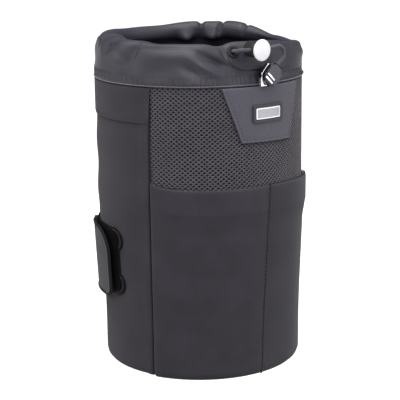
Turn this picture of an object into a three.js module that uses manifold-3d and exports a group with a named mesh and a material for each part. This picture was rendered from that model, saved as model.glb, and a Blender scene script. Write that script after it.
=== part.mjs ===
import * as THREE from 'three';
import { mergeVertices } from 'three/addons/utils/BufferGeometryUtils.js';
import Module from 'manifold-3d';

const wasm = await Module();
wasm.setup();
const rad = THREE.MathUtils.degToRad;

// Body of the pouch, in millimetres, standing on the floor with its front towards -Y.
const BODY_HEIGHT = 178;
const BASE_RADIUS = 61;
const SEAM_RADIUS = 63.7;
const WAIST_LOW = 20;
const WAIST_HIGH = 115;
const WAIST_STEPS = 4;
const BASE_EDGE = 4;
const SHELL_CLOTH = 1.4;
const FOAM = 4;
const LINING_CLOTH = 0.8;
const BOARD = 1.5;
const SEWN_GAP = 0.3;
const FRONT_HALF = rad(65);
const BACK_HALF = rad(37);
const STEP = rad(6);
const ROUND = 60;

// Front: stretch pocket, trapezoid patch and the bare label on it.
const POCKET_HEIGHT = 118.6;
const POCKET_RISE_AT_SEAM = 3.3;
const POCKET_DIP = 5;
const POCKET_HEM = 16;
const POCKET_BULGE = 1.6;
const POCKET_CLOTH = 1.0;
const HEM_EXTRA = 0.4;
const PATCH_BOTTOM = 145;
const PATCH_TOP_HALF = rad(26.3);
const PATCH_BOTTOM_HALF = rad(16.6);
const PATCH_LEATHER = 1.2;
const LABEL_WIDTH = 21.5;
const LABEL_HEIGHT = 10.6;
const LABEL_MIDDLE = 161.8;
const LABEL_BORDER = 1.7;
const LABEL_FRAME = 1.0;
const LABEL_PLATE = 0.7;
const LABEL_CORNER = 1.2;

// Sides: the facing under the collar and the press-closed tab.
const FACING_BOTTOM = 156.5;
const FACING_CLOTH = 0.6;
const TAB_MIDDLE = rad(110);
const TAB_BOTTOM = 46;
const TAB_TOP = 90;
const TAB_FRONT = 18;
const TAB_REAR = 16.4;
const TAB_CORNER = 16;
const TAB_LOW_CORNER = 6;
const TAB_CLOTH = 1.2;
const TAB_FLARE = 2;
const BINDING_WIDTH = 3;
const BINDING_CLOTH = 2;
const TAB_PATCH_CLOTH = 1.0;
const LOBE_REACH = 26.8;
const LOBE_HEIGHT = 15;
const NOTCH_DEPTH = 3.8;
const GRIP_CLOTH = 0.6;
const GRIP_MARGIN = 5;
const GRIP_EDGE = 4;
const ANCHOR_WIDTH = 5;

// Back: belt loop for belts up to the height of its straight part.
const LOOP_HALF_WIDTH = 23;
const LOOP_MIDDLE = 97;
const LOOP_STRAIGHT = 52;
const LOOP_RAMP = 7;
const LOOP_FOOT = 10;
const LOOP_DEPTH = 6.3;
const LOOP_WEBBING = 1.8;

// Drawstring collar.
const COLLAR_STRAIGHT = 22;
const COLLAR_ROLL = 3.2;
const COLLAR_CLOTH = 1.1;
const COLLAR_PROUD = 0.9;
const COLLAR_TAPER = 3.2;
const COLLAR_STITCH = 10.5;
const COLLAR_HEIGHT = COLLAR_STRAIGHT + COLLAR_ROLL;
const FRONT_LEAN = 6;
const LEAN_TURN = rad(-8);
const DROOP = 6.2;
const DROOP_TURN = rad(65);
const BACK_LIFT = 2.6;
const LIFT_TURN = rad(125);
const PLACKET_HALF = rad(24.5);
const PLACKET_FOOT_HALF = rad(15);
const PLACKET_BOTTOM = 9.5;
const PLACKET_TOP = 22;
const PLACKET_CLOTH = 1.0;

// Drawcord with its eyelet, sprung cord lock and cord end.
const CORD = 2.4;
const CORD_CLEARANCE = 0.35;
const CORD_RISE = 20.2;
const CORD_SIDES = 8;
const EYELET_TURN = rad(-18.7);
const EYELET_BORE = 4.2;
const EYELET_FLANGE = 1.5;
const EYELET_METAL = 0.8;
const LOCK_X = -11.8;
const LOCK_BACK = 62.2;
const LOCK_LIFT = 1.6;
const BARREL = 9.4;
const BARREL_LENGTH = 8.2;
const BARREL_FLOOR = 1.2;
const BARREL_WALL = 1.1;
const STEM_CLEARANCE = 0.3;
const PRESS = 1.5;
const CORD_DEPTH = 6.1;
const HEAD = 12.5;
const HEAD_THICK = 1.8;
const SPRING_WIRE = 0.4;
const SPRING_TURNS = 1.5;
const LOCK_SLIDE = 4;
const CORD_BEND = 4.6;
const BEND_START = 5;
const BEND_LIFT = 0.7;
const BEND_SWEEP = rad(152);
const CORD_DROP = 4.4;
const END_TILT = rad(44);
const END_LENGTH = 13;
const END_WIDTH = 11;
const END_THICK = 6.4;
const END_CHAMFER = 2.9;
const END_BEVEL = 0.7;
const END_BORE = 8;
const RIB = 0.7;

// Colours seen on the object.
const materials = {
  nylon: [0x45424a, 0.8, 0],
  mesh: [0x48444b, 0.9, 0],
  stretch: [0x403e45, 0.85, 0],
  collar: [0x514f59, 0.55, 0],
  leather: [0x615f6b, 0.6, 0],
  rubber: [0x36353b, 0.6, 0],
  satin: [0xcfcfd4, 0.3, 0.8],
  foam: [0x2b2b2e, 0.95, 0],
  board: [0x1c1c1e, 0.7, 0],
  lining: [0x2a2930, 0.75, 0],
  webbing: [0x2c2b30, 0.85, 0],
  binding: [0x35343a, 0.8, 0],
  grip: [0x1e1e21, 0.95, 0],
  cord: [0x2d2c31, 0.8, 0],
  plastic: [0x1b1b1e, 0.4, 0],
  button: [0xf0f0f3, 0.2, 0.6],
  gunmetal: [0x6a6a70, 0.25, 0.9],
  steel: [0xb4b6ba, 0.3, 1],
};

// The body's outside radius at a height; it widens through the waist, from the base to the seam.
function shell(height) {
  const share = THREE.MathUtils.smoothstep(height, WAIST_LOW, WAIST_HIGH);
  return THREE.MathUtils.lerp(BASE_RADIUS, SEAM_RADIUS, share);
}

// Heights where a piece of the wall bends: its own ends and the waist's steps between them.
function bends(low, high) {
  const heights = [low];
  for (let i = 0; i <= WAIST_STEPS; i += 1) {
    const height = THREE.MathUtils.lerp(WAIST_LOW, WAIST_HIGH, i / WAIST_STEPS);
    if (height > low && height < high) heights.push(height);
  }
  heights.push(high);
  return heights;
}

function profileAt(offset, heights) {
  return heights.map((height) => [shell(height) + offset, height]);
}

function around(radius, turn, height) {
  return new THREE.Vector3(radius * Math.sin(turn), -radius * Math.cos(turn), height);
}

function bodyOf(geometry) {
  const bare = geometry.clone();
  bare.deleteAttribute('normal');
  bare.deleteAttribute('uv');
  const joined = mergeVertices(bare, 1e-4);
  return new wasm.Manifold(new wasm.Mesh({
    numProp: 3,
    vertProperties: new Float32Array(joined.attributes.position.array),
    triVerts: new Uint32Array(joined.index.array),
  }));
}

function geometryOf(body) {
  const mesh = body.getMesh();
  const geometry = new THREE.BufferGeometry();
  geometry.setAttribute('position', new THREE.BufferAttribute(new Float32Array(mesh.vertProperties), 3));
  geometry.setIndex(new THREE.BufferAttribute(new Uint32Array(mesh.triVerts), 1));
  geometry.computeVertexNormals();
  return geometry;
}

// A sheet bent into shape: each corner of a cut board goes where the given rule puts it.
function sheet(across, up, rule) {
  const board = new THREE.BoxGeometry(1, 1, 1, across, up, 1);
  const at = board.attributes.position;
  for (let i = 0; i < at.count; i += 1) {
    const to = rule(at.getX(i) + 0.5, at.getY(i) + 0.5, at.getZ(i) + 0.5);
    at.setXYZ(i, to.x, to.y, to.z);
  }
  board.computeVertexNormals();
  return board;
}

// A piece of the wall between two turns and two heights, at depths given from the outside.
function wall(from, to, low, high, inside, outside) {
  const across = Math.max(1, Math.round((to - from) / STEP));
  const heights = bends(low, high);
  const rows = heights.length - 1;
  return sheet(across, rows, (u, v, w) => {
    const height = heights[Math.round(v * rows)];
    const radius = shell(height) + THREE.MathUtils.lerp(inside, outside, w);
    return around(radius, THREE.MathUtils.lerp(from, to, u), height);
  });
}

function turned(profile, segments) {
  const points = profile.map(([radius, height]) => new THREE.Vector2(radius, height));
  return new THREE.LatheGeometry(points, segments).rotateX(Math.PI / 2);
}

// A hoop round the body, and an outline pushed outwards through it.
function hoop(inside, outside, low, high) {
  const segments = Math.round(2 * Math.PI / STEP);
  const heights = bends(low, high);
  const inner = profileAt(inside, heights).reverse();
  const foot = inner[inner.length - 1];
  return turned([foot, ...profileAt(outside, heights), ...inner], segments);
}

function pushed(outline, turn) {
  const reach = { depth: SEAM_RADIUS, bevelEnabled: false, curveSegments: 5 };
  return new THREE.ExtrudeGeometry(outline, reach)
    .translate(0, 0, SEAM_RADIUS / 2)
    .rotateX(Math.PI / 2)
    .rotateZ(turn);
}

function cutFrom(ring, outline, turn) {
  return geometryOf(bodyOf(ring).intersect(bodyOf(pushed(outline, turn))));
}

function plate(left, low, right, high, corner) {
  const shape = new THREE.Shape();
  shape.moveTo(left + corner, low);
  shape.lineTo(right - corner, low);
  shape.absarc(right - corner, low + corner, corner, -Math.PI / 2, 0);
  shape.lineTo(right, high - corner);
  shape.absarc(right - corner, high - corner, corner, 0, Math.PI / 2);
  shape.lineTo(left + corner, high);
  shape.absarc(left + corner, high - corner, corner, Math.PI / 2, Math.PI);
  shape.lineTo(left, low + corner);
  shape.absarc(left + corner, low + corner, corner, Math.PI, 1.5 * Math.PI);
  return shape;
}

const pouch = new THREE.Group();
pouch.name = 'lens_pouch';

function add(name, geometry, kind) {
  const [color, roughness, metalness] = materials[kind];
  const material = new THREE.MeshStandardMaterial({ color, roughness, metalness });
  material.name = kind;
  const mesh = new THREE.Mesh(geometry, material);
  mesh.name = name;
  pouch.add(mesh);
}

// Base: a shallow cloth dish with a stiff board and a foam disc in it.
const dishInside = BASE_EDGE - SHELL_CLOTH;
const dishCentre = BASE_RADIUS - BASE_EDGE;
const dish = [[0, 0]];
for (let i = 0; i <= 3; i += 1) {
  const angle = i * Math.PI / 6;
  dish.push([dishCentre + BASE_EDGE * Math.sin(angle), BASE_EDGE - BASE_EDGE * Math.cos(angle)]);
}
for (let i = 3; i >= 0; i -= 1) {
  const angle = i * Math.PI / 6;
  dish.push([dishCentre + dishInside * Math.sin(angle), BASE_EDGE - dishInside * Math.cos(angle)]);
}
dish.push([0, SHELL_CLOTH]);
add('base_panel', turned(dish, ROUND), 'nylon');

const boardLow = SHELL_CLOTH + SEWN_GAP;
const boardHigh = boardLow + BOARD;
const boardRadius = dishCentre - SEWN_GAP;
add('base_board', turned([
  [0, boardLow],
  [boardRadius, boardLow],
  [boardRadius, boardHigh],
  [0, boardHigh],
], ROUND), 'board');

const foamOutside = -SHELL_CLOTH - SEWN_GAP;
const foamInside = foamOutside - FOAM;
const liningOutside = foamInside - SEWN_GAP;
const liningInside = liningOutside - LINING_CLOTH;
const baseFoamLow = boardHigh + SEWN_GAP;
const baseFoamHigh = baseFoamLow + FOAM;
const baseFoamRadius = BASE_RADIUS + foamInside - SEWN_GAP;
add('base_foam', turned([
  [0, baseFoamLow],
  [baseFoamRadius, baseFoamLow],
  [baseFoamRadius, baseFoamHigh],
  [0, baseFoamHigh],
], ROUND), 'foam');

// Walls: four sewn panels, each with its own foam, and one smooth lining cup inside.
const wallLow = BASE_EDGE + SEWN_GAP;
const wallHigh = BODY_HEIGHT - SEWN_GAP;
const seamHalf = SEWN_GAP / 2 / BASE_RADIUS;
const backFrom = Math.PI - BACK_HALF;
const sectors = {
  front: [-FRONT_HALF + seamHalf, FRONT_HALF - seamHalf],
  right: [FRONT_HALF + seamHalf, backFrom - seamHalf],
  back: [backFrom + seamHalf, 2 * Math.PI - backFrom - seamHalf],
  left: [-backFrom + seamHalf, -FRONT_HALF - seamHalf],
};
const panelNames = {
  front: 'front_mesh_panel',
  right: 'right_side_panel',
  back: 'back_panel',
  left: 'left_side_panel',
};
for (const side of Object.keys(sectors)) {
  const [from, to] = sectors[side];
  const cloth = side === 'front' ? 'mesh' : 'nylon';
  add(panelNames[side], wall(from, to, wallLow, wallHigh, -SHELL_CLOTH, 0), cloth);
  add(`${side}_foam`, wall(from, to, wallLow, wallHigh, foamInside, foamOutside), 'foam');
}

const liningLow = baseFoamHigh + SEWN_GAP;
add('inner_lining', turned([
  [0, liningLow],
  ...profileAt(liningOutside, bends(liningLow, wallHigh)),
  ...profileAt(liningInside, bends(liningLow + LINING_CLOTH, wallHigh)).reverse(),
  [0, liningLow + LINING_CLOTH],
], ROUND), 'lining');

// Stretch pocket: held at the side seams, the base and down the middle, standing off below its hem.
const bulgeLow = POCKET_HEIGHT - 1.8 * POCKET_HEM;
const bulgeHigh = POCKET_HEIGHT - 0.9 * POCKET_HEM;
function pocketOffset(turn, height) {
  const side = 1 - Math.abs(turn / FRONT_HALF) ** 6;
  const middle = 1 - Math.exp(-((turn / rad(7)) ** 2));
  const rise = THREE.MathUtils.smoothstep(height, bulgeLow, bulgeHigh);
  return SEWN_GAP + POCKET_BULGE * side * middle * rise;
}

function pocketTop(turn) {
  const across = turn / FRONT_HALF;
  return POCKET_HEIGHT + POCKET_RISE_AT_SEAM * Math.max(0, -across) ** 8 - POCKET_DIP * Math.max(0, across) ** 2;
}

const pocketAcross = Math.round(2 * FRONT_HALF / STEP);
const [pocketFrom, pocketTo] = sectors.front;
add('front_pocket', sheet(pocketAcross, 8, (u, v, w) => {
  const turn = THREE.MathUtils.lerp(pocketFrom, pocketTo, u);
  const height = THREE.MathUtils.lerp(wallLow, pocketTop(turn) - POCKET_HEM, v);
  return around(shell(height) + pocketOffset(turn, height) + w * POCKET_CLOTH, turn, height);
}), 'stretch');

add('pocket_hem', sheet(pocketAcross, 2, (u, v, w) => {
  const turn = THREE.MathUtils.lerp(pocketFrom, pocketTo, u);
  const top = pocketTop(turn);
  const height = THREE.MathUtils.lerp(top - POCKET_HEM + SEWN_GAP, top, v);
  const outside = pocketOffset(turn, height) + POCKET_CLOTH + HEM_EXTRA;
  return around(shell(height) + THREE.MathUtils.lerp(SEWN_GAP, outside, w), turn, height);
}), 'stretch');

// Trapezoid patch under the collar with a framed label plate.
const patchAcross = Math.round(2 * PATCH_TOP_HALF / STEP);
add('leather_patch', sheet(patchAcross, 2, (u, v, w) => {
  const half = THREE.MathUtils.lerp(PATCH_BOTTOM_HALF, PATCH_TOP_HALF, v);
  const height = THREE.MathUtils.lerp(PATCH_BOTTOM, wallHigh, v);
  return around(shell(height) + SEWN_GAP + w * PATCH_LEATHER, (2 * u - 1) * half, height);
}), 'leather');

const labelLow = LABEL_MIDDLE - LABEL_HEIGHT / 2;
const labelHigh = LABEL_MIDDLE + LABEL_HEIGHT / 2;
const labelSeat = 2 * SEWN_GAP + PATCH_LEATHER;
const labelHalf = LABEL_WIDTH / 2;
const frameOutline = plate(-labelHalf, labelLow, labelHalf, labelHigh, LABEL_CORNER);
const windowHalf = labelHalf - LABEL_BORDER;
const windowLow = labelLow + LABEL_BORDER;
const windowHigh = labelHigh - LABEL_BORDER;
const windowCorner = LABEL_CORNER / 2;
frameOutline.holes.push(plate(-windowHalf, windowLow, windowHalf, windowHigh, windowCorner));
const plateOutline = plate(
  -windowHalf + SEWN_GAP,
  windowLow + SEWN_GAP,
  windowHalf - SEWN_GAP,
  windowHigh - SEWN_GAP,
  windowCorner,
);
const frameRing = hoop(labelSeat, labelSeat + LABEL_FRAME, labelLow - 1, labelHigh + 1);
const plateRing = hoop(labelSeat, labelSeat + LABEL_PLATE, labelLow - 1, labelHigh + 1);
add('label_frame', cutFrom(frameRing, frameOutline, 0), 'rubber');
add('label_plate', cutFrom(plateRing, plateOutline, 0), 'satin');

// Side facings and tabs; a tab is a bound flap that presses onto a two-lobed base patch.
function arc(middle, height, radius, from, to) {
  const points = [];
  for (let i = 0; i <= 5; i += 1) {
    const angle = THREE.MathUtils.lerp(from, to, i / 5);
    points.push([middle + radius * Math.cos(angle), height + radius * Math.sin(angle)]);
  }
  return points;
}

function outlineOf(points, mirror) {
  return new THREE.Shape(points.map(([x, y]) => new THREE.Vector2(mirror * x, y)));
}

function lobedPatch(mirror, rear, inset) {
  const lobe = LOBE_HEIGHT / 2;
  const ahead = LOBE_REACH - lobe;
  const radius = lobe - inset;
  const notch = Math.acos(1 - NOTCH_DEPTH / radius);
  return outlineOf([
    [-rear, TAB_BOTTOM + inset],
    ...arc(ahead, TAB_BOTTOM + lobe, radius, -Math.PI / 2, notch),
    ...arc(ahead, TAB_TOP - lobe, radius, -notch, Math.PI / 2),
    [-rear, TAB_TOP - inset],
  ], mirror);
}

function flapOutline(mirror, rear, inset) {
  const front = TAB_FRONT - inset;
  const low = Math.max(1, TAB_LOW_CORNER - inset);
  const high = TAB_CORNER - inset;
  return outlineOf([
    [-rear, TAB_BOTTOM + inset],
    ...arc(front - low, TAB_BOTTOM + inset + low, low, -Math.PI / 2, 0),
    ...arc(front - high, TAB_TOP - inset - high, high, 0, Math.PI / 2),
    [-rear, TAB_TOP - inset],
  ], mirror);
}

const tabSeat = SEWN_GAP;
const loopSeat = tabSeat + TAB_PATCH_CLOTH + SEWN_GAP;
const hookSeat = loopSeat + GRIP_CLOTH + SEWN_GAP;
const flapSeat = hookSeat + GRIP_CLOTH + SEWN_GAP;
const bindingSeat = flapSeat - (BINDING_CLOTH - TAB_CLOTH) / 2;
const tabLow = TAB_BOTTOM - 1;
const tabHigh = TAB_TOP + 1;

// The flap's bend is set a little forward of the body's, so its front edge stands off.
function flared(ring, turn, mirror) {
  const rearTurn = turn - mirror * Math.asin(TAB_REAR / SEAM_RADIUS);
  const spread = Math.asin(TAB_REAR / SEAM_RADIUS) + Math.asin(TAB_FRONT / SEAM_RADIUS);
  const shift = mirror * TAB_FLARE / Math.sin(spread);
  return ring.translate(shift * Math.cos(rearTurn), shift * Math.sin(rearTurn), 0);
}

for (const side of ['left', 'right']) {
  const mirror = side === 'left' ? 1 : -1;
  const turn = -mirror * TAB_MIDDLE;
  const [from, to] = sectors[side];
  const facingOutside = SEWN_GAP + FACING_CLOTH;
  const facing = wall(from, to, FACING_BOTTOM, wallHigh, SEWN_GAP, facingOutside);
  add(`${side}_side_facing`, facing, 'nylon');

  const patchRing = hoop(tabSeat, tabSeat + TAB_PATCH_CLOTH, tabLow, tabHigh);
  const patchOutline = lobedPatch(mirror, TAB_REAR + ANCHOR_WIDTH + 1, 0);
  add(`${side}_tab_patch`, cutFrom(patchRing, patchOutline, turn), 'nylon');

  const gripRear = TAB_REAR - GRIP_MARGIN;
  const loopRing = hoop(loopSeat, loopSeat + GRIP_CLOTH, tabLow, tabHigh);
  add(`${side}_tab_loop_pad`, cutFrom(loopRing, lobedPatch(mirror, gripRear, GRIP_EDGE), turn), 'grip');
  const hookRing = flared(hoop(hookSeat, hookSeat + GRIP_CLOTH, tabLow, tabHigh), turn, mirror);
  add(`${side}_tab_hook_pad`, cutFrom(hookRing, flapOutline(mirror, gripRear, GRIP_MARGIN), turn), 'grip');

  const flapRing = flared(hoop(flapSeat, flapSeat + TAB_CLOTH, tabLow, tabHigh), turn, mirror);
  const faceOutline = flapOutline(mirror, TAB_REAR, BINDING_WIDTH + SEWN_GAP);
  add(`${side}_tab_flap`, cutFrom(flapRing, faceOutline, turn), 'nylon');
  const bindingRing = flared(hoop(bindingSeat, bindingSeat + BINDING_CLOTH, tabLow, tabHigh), turn, mirror);
  const whole = bodyOf(pushed(flapOutline(mirror, TAB_REAR, 0), turn));
  const inner = bodyOf(pushed(flapOutline(mirror, TAB_REAR, BINDING_WIDTH), turn));
  add(`${side}_tab_binding`, geometryOf(bodyOf(bindingRing).intersect(whole).subtract(inner)), 'binding');

  const anchorNear = -mirror * (TAB_REAR + SEWN_GAP);
  const anchorFar = -mirror * (TAB_REAR + SEWN_GAP + ANCHOR_WIDTH);
  const anchorOutline = plate(
    Math.min(anchorNear, anchorFar),
    TAB_BOTTOM,
    Math.max(anchorNear, anchorFar),
    TAB_TOP,
    1,
  );
  const anchorRing = hoop(loopSeat, flapSeat + TAB_CLOTH, tabLow, tabHigh);
  add(`${side}_tab_anchor`, cutFrom(anchorRing, anchorOutline, turn), 'webbing');
}

// Belt loop: a webbing strap sewn down at both ends and straight between them.
const loopFlat = SEAM_RADIUS + LOOP_DEPTH;
const loopStations = [
  [-LOOP_STRAIGHT / 2 - LOOP_RAMP - LOOP_FOOT, 0],
  [-LOOP_STRAIGHT / 2 - LOOP_RAMP, 0],
  [-LOOP_STRAIGHT / 2, 1],
  [LOOP_STRAIGHT / 2, 1],
  [LOOP_STRAIGHT / 2 + LOOP_RAMP, 0],
  [LOOP_STRAIGHT / 2 + LOOP_RAMP + LOOP_FOOT, 0],
];
add('belt_loop', sheet(8, loopStations.length - 1, (u, v, w) => {
  const [along, lift] = loopStations[Math.round(v * (loopStations.length - 1))];
  const height = LOOP_MIDDLE + along;
  const x = (1 - 2 * u) * LOOP_HALF_WIDTH;
  const depth = SEWN_GAP + w * LOOP_WEBBING;
  const sewn = Math.sqrt((shell(height) + depth) ** 2 - x ** 2);
  return new THREE.Vector3(x, THREE.MathUtils.lerp(sewn, loopFlat + w * LOOP_WEBBING, lift), height);
}), 'webbing');

// Collar: one cloth wall sewn on the rim, rolled over a cord channel and stitched back to itself.
function collarRadius(rise) {
  return SEAM_RADIUS + COLLAR_PROUD - COLLAR_TAPER * (rise / COLLAR_HEIGHT) ** 2;
}

// The collar sags on the right, stands up at the back and leans in at the front, with its fittings.
function settled(point) {
  const rise = point.z - BODY_HEIGHT;
  const turn = Math.atan2(point.x, -point.y);
  const share = Math.max(0, rise) / COLLAR_HEIGHT;
  const lean = FRONT_LEAN * share * Math.max(0, Math.cos(turn - LEAN_TURN)) ** 4;
  const droop = DROOP * (0.5 + 0.5 * Math.cos(turn - DROOP_TURN)) ** 7;
  const lift = BACK_LIFT * (0.5 + 0.5 * Math.cos(turn - LIFT_TURN)) ** 16;
  return around(Math.hypot(point.x, point.y) - lean, turn, point.z - share * (droop - lift));
}

function settle(geometry) {
  const at = geometry.attributes.position;
  for (let i = 0; i < at.count; i += 1) {
    const to = settled(new THREE.Vector3().fromBufferAttribute(at, i));
    at.setXYZ(i, to.x, to.y, to.z);
  }
  geometry.computeVertexNormals();
  return geometry;
}

const rollCentre = collarRadius(COLLAR_STRAIGHT) - COLLAR_ROLL;
const rollInside = COLLAR_ROLL - COLLAR_CLOTH;
const collarSeat = shell(BODY_HEIGHT) + liningInside;
const collarSection = [[collarSeat, 0], [collarRadius(0), 0]];
for (let i = 1; i <= 4; i += 1) {
  const rise = COLLAR_STRAIGHT * i / 4;
  collarSection.push([collarRadius(rise), rise]);
}
for (let i = 1; i <= 5; i += 1) {
  const angle = i * Math.PI / 5;
  collarSection.push([
    rollCentre + COLLAR_ROLL * Math.cos(angle),
    COLLAR_STRAIGHT + COLLAR_ROLL * Math.sin(angle),
  ]);
}
const channelFoot = collarRadius(COLLAR_STITCH) - COLLAR_CLOTH - SEWN_GAP;
collarSection.push([channelFoot - COLLAR_CLOTH, COLLAR_STITCH]);
collarSection.push([channelFoot, COLLAR_STITCH]);
for (let i = 5; i >= 0; i -= 1) {
  const angle = i * Math.PI / 5;
  collarSection.push([
    rollCentre + rollInside * Math.cos(angle),
    COLLAR_STRAIGHT + rollInside * Math.sin(angle),
  ]);
}
for (let i = 3; i >= 1; i -= 1) {
  const rise = COLLAR_STRAIGHT * i / 4;
  collarSection.push([collarRadius(rise) - COLLAR_CLOTH, rise]);
}
collarSection.push([collarRadius(COLLAR_CLOTH) - COLLAR_CLOTH, COLLAR_CLOTH]);
collarSection.push([collarSeat, COLLAR_CLOTH]);
collarSection.push([collarSeat, 0]);
const collarProfile = collarSection.map(([radius, rise]) => [radius, BODY_HEIGHT + rise]);
const collarBody = bodyOf(settle(turned(collarProfile, ROUND)));

const placketBody = bodyOf(settle(sheet(10, 6, (u, v, w) => {
  const rise = THREE.MathUtils.lerp(PLACKET_BOTTOM, PLACKET_TOP, v);
  const corner = Math.sqrt(1 - (1 - Math.min(1, v / 0.6)) ** 2);
  const half = THREE.MathUtils.lerp(PLACKET_FOOT_HALF, PLACKET_HALF, corner);
  const radius = collarRadius(rise) + SEWN_GAP + w * PLACKET_CLOTH;
  return around(radius, (2 * u - 1) * half, BODY_HEIGHT + rise);
})));

// The eyelet goes square through placket and collar, so both are cut with the same bore.
const cordHeight = settled(around(SEAM_RADIUS, EYELET_TURN, BODY_HEIGHT + CORD_RISE)).z;
const placketFace = collarRadius(CORD_RISE) + SEWN_GAP + PLACKET_CLOTH;
const eyeletFace = settled(around(placketFace, EYELET_TURN, BODY_HEIGHT + CORD_RISE));
const eyeletRadius = Math.hypot(eyeletFace.x, eyeletFace.y);
const slopeRun = COLLAR_STRAIGHT / 4;
const below = settled(around(
  collarRadius(COLLAR_STRAIGHT - slopeRun),
  EYELET_TURN,
  BODY_HEIGHT + COLLAR_STRAIGHT - slopeRun,
));
const above = settled(around(collarRadius(COLLAR_STRAIGHT), EYELET_TURN, BODY_HEIGHT + COLLAR_STRAIGHT));
const eyeletTilt = Math.atan2(
  Math.hypot(below.x, below.y) - Math.hypot(above.x, above.y),
  above.z - below.z,
);

function atEyelet(geometry) {
  return geometry
    .rotateX(-eyeletTilt)
    .translate(0, -eyeletRadius, cordHeight)
    .rotateZ(EYELET_TURN);
}

const boreCut = EYELET_BORE / 2 + SEWN_GAP;
const boreReach = COLLAR_CLOTH + PLACKET_CLOTH + 2 * SEWN_GAP;
const eyeletCut = bodyOf(atEyelet(new THREE.CylinderGeometry(boreCut, boreCut, 2 * boreReach, 16)));
add('collar', geometryOf(collarBody.subtract(eyeletCut)), 'collar');
add('collar_placket', geometryOf(placketBody.subtract(eyeletCut)), 'collar');

const eyeletOuter = EYELET_BORE / 2 + EYELET_FLANGE;
const eyeletInner = CORD / 2 + CORD_CLEARANCE;
const eyeletTube = EYELET_BORE / 2;
const eyelet = new THREE.LatheGeometry([
  [eyeletInner, -SEWN_GAP - EYELET_METAL],
  [eyeletOuter, -SEWN_GAP - EYELET_METAL],
  [eyeletOuter, -SEWN_GAP],
  [eyeletTube, -SEWN_GAP],
  [eyeletTube, PLACKET_CLOTH + SEWN_GAP],
  [eyeletInner, PLACKET_CLOTH + SEWN_GAP],
  [eyeletInner, -SEWN_GAP - EYELET_METAL],
].map(([radius, along]) => new THREE.Vector2(radius, along)), 16);
add('cord_eyelet', atEyelet(eyelet), 'gunmetal');

// Drawcord: one cord round the channel, out of the eyelet, through the lock to the cord end.
function cordAlong(points, steps) {
  const circle = new THREE.Shape();
  circle.absarc(0, 0, CORD / 2, 0, 2 * Math.PI);
  return new THREE.ExtrudeGeometry(circle, {
    steps,
    extrudePath: new THREE.CatmullRomCurve3(points, false, 'centripetal'),
    curveSegments: CORD_SIDES / 2,
  });
}

const channelMiddle = (
  collarRadius(CORD_RISE) - COLLAR_CLOTH
  + rollCentre - rollInside
  + (COLLAR_STRAIGHT - CORD_RISE) / (COLLAR_STRAIGHT - COLLAR_STITCH) * (channelFoot - rollCentre + rollInside)
) / 2;
const cordAside = (CORD / 2 + SEWN_GAP) / (eyeletRadius - CORD);
const ringEnd = EYELET_TURN - cordAside;
const ringStart = EYELET_TURN + 3 * cordAside - 2 * Math.PI;
const ringPoints = [];
for (let i = 0; i <= 60; i += 1) {
  const turn = THREE.MathUtils.lerp(ringEnd, ringStart, i / 60);
  ringPoints.push(settled(around(channelMiddle, turn, BODY_HEIGHT + CORD_RISE)));
}
add('drawcord_in_channel', cordAlong(ringPoints, 56), 'cord');

const lockHeight = cordHeight + LOCK_LIFT;
const cordLine = -LOCK_BACK - CORD_DEPTH;
const bendHeight = lockHeight + BEND_LIFT;
const eyeletOut = around(Math.cos(eyeletTilt), EYELET_TURN, Math.sin(eyeletTilt));
const endAxis = new THREE.Vector3(-Math.sin(END_TILT), 0, -Math.cos(END_TILT));
const dropTurn = (BEND_SWEEP + Math.PI / 2 + END_TILT) / 2;
const endTop = new THREE.Vector3(
  BEND_START + CORD_BEND * Math.sin(BEND_SWEEP) + CORD_DROP * Math.cos(dropTurn),
  cordLine,
  bendHeight - CORD_BEND + CORD_BEND * Math.cos(BEND_SWEEP) - CORD_DROP * Math.sin(dropTurn),
);
const tailPoints = [
  eyeletFace.clone().addScaledVector(eyeletOut, -boreReach - SEWN_GAP),
  eyeletFace.clone(),
  eyeletFace.clone().addScaledVector(eyeletOut, EYELET_METAL + SEWN_GAP),
  new THREE.Vector3(LOCK_X - BARREL / 2 - 4, cordLine + 6, cordHeight + LOCK_LIFT / 2),
  new THREE.Vector3(LOCK_X - BARREL / 2 - 3.6, cordLine + 2.4, lockHeight),
  new THREE.Vector3(LOCK_X - BARREL / 2 - 1.2, cordLine + 0.1, lockHeight),
  new THREE.Vector3(LOCK_X - BARREL / 2 + 1.5, cordLine, lockHeight),
  new THREE.Vector3(LOCK_X, cordLine, lockHeight),
  new THREE.Vector3(LOCK_X + BARREL / 2 + LOCK_SLIDE + 1, cordLine, lockHeight),
];
for (let i = 0; i <= 6; i += 1) {
  const angle = BEND_SWEEP * i / 6;
  tailPoints.push(new THREE.Vector3(
    BEND_START + CORD_BEND * Math.sin(angle),
    cordLine,
    bendHeight - CORD_BEND + CORD_BEND * Math.cos(angle),
  ));
}
const cordSunk = END_BORE - CORD_CLEARANCE - SEWN_GAP;
tailPoints.push(endTop.clone());
tailPoints.push(endTop.clone().addScaledVector(endAxis, cordSunk / 2));
tailPoints.push(endTop.clone().addScaledVector(endAxis, cordSunk));
add('drawcord_tail', cordAlong(tailPoints, 30), 'cord');

// Cord lock: a sprung plunger in a barrel, both bored across for the cord.
function atLock(geometry) {
  return geometry.rotateX(Math.PI).translate(LOCK_X, -LOCK_BACK, lockHeight);
}

const barrelRadius = BARREL / 2;
const boreRadius = barrelRadius - BARREL_WALL;
const barrelBody = bodyOf(atLock(new THREE.LatheGeometry([
  [0, 0],
  [barrelRadius, 0],
  [barrelRadius, BARREL_LENGTH],
  [boreRadius, BARREL_LENGTH],
  [boreRadius, BARREL_FLOOR],
  [0, BARREL_FLOOR],
].map(([radius, along]) => new THREE.Vector2(radius, along)), 28)));
const crossRadius = CORD / 2 + CORD_CLEARANCE;
const crossCut = bodyOf(
  new THREE.CylinderGeometry(crossRadius, crossRadius, 2 * BARREL, 14)
    .rotateZ(Math.PI / 2)
    .translate(LOCK_X, cordLine, lockHeight),
);
add('lock_barrel', geometryOf(barrelBody.subtract(crossCut)), 'plastic');

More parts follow.
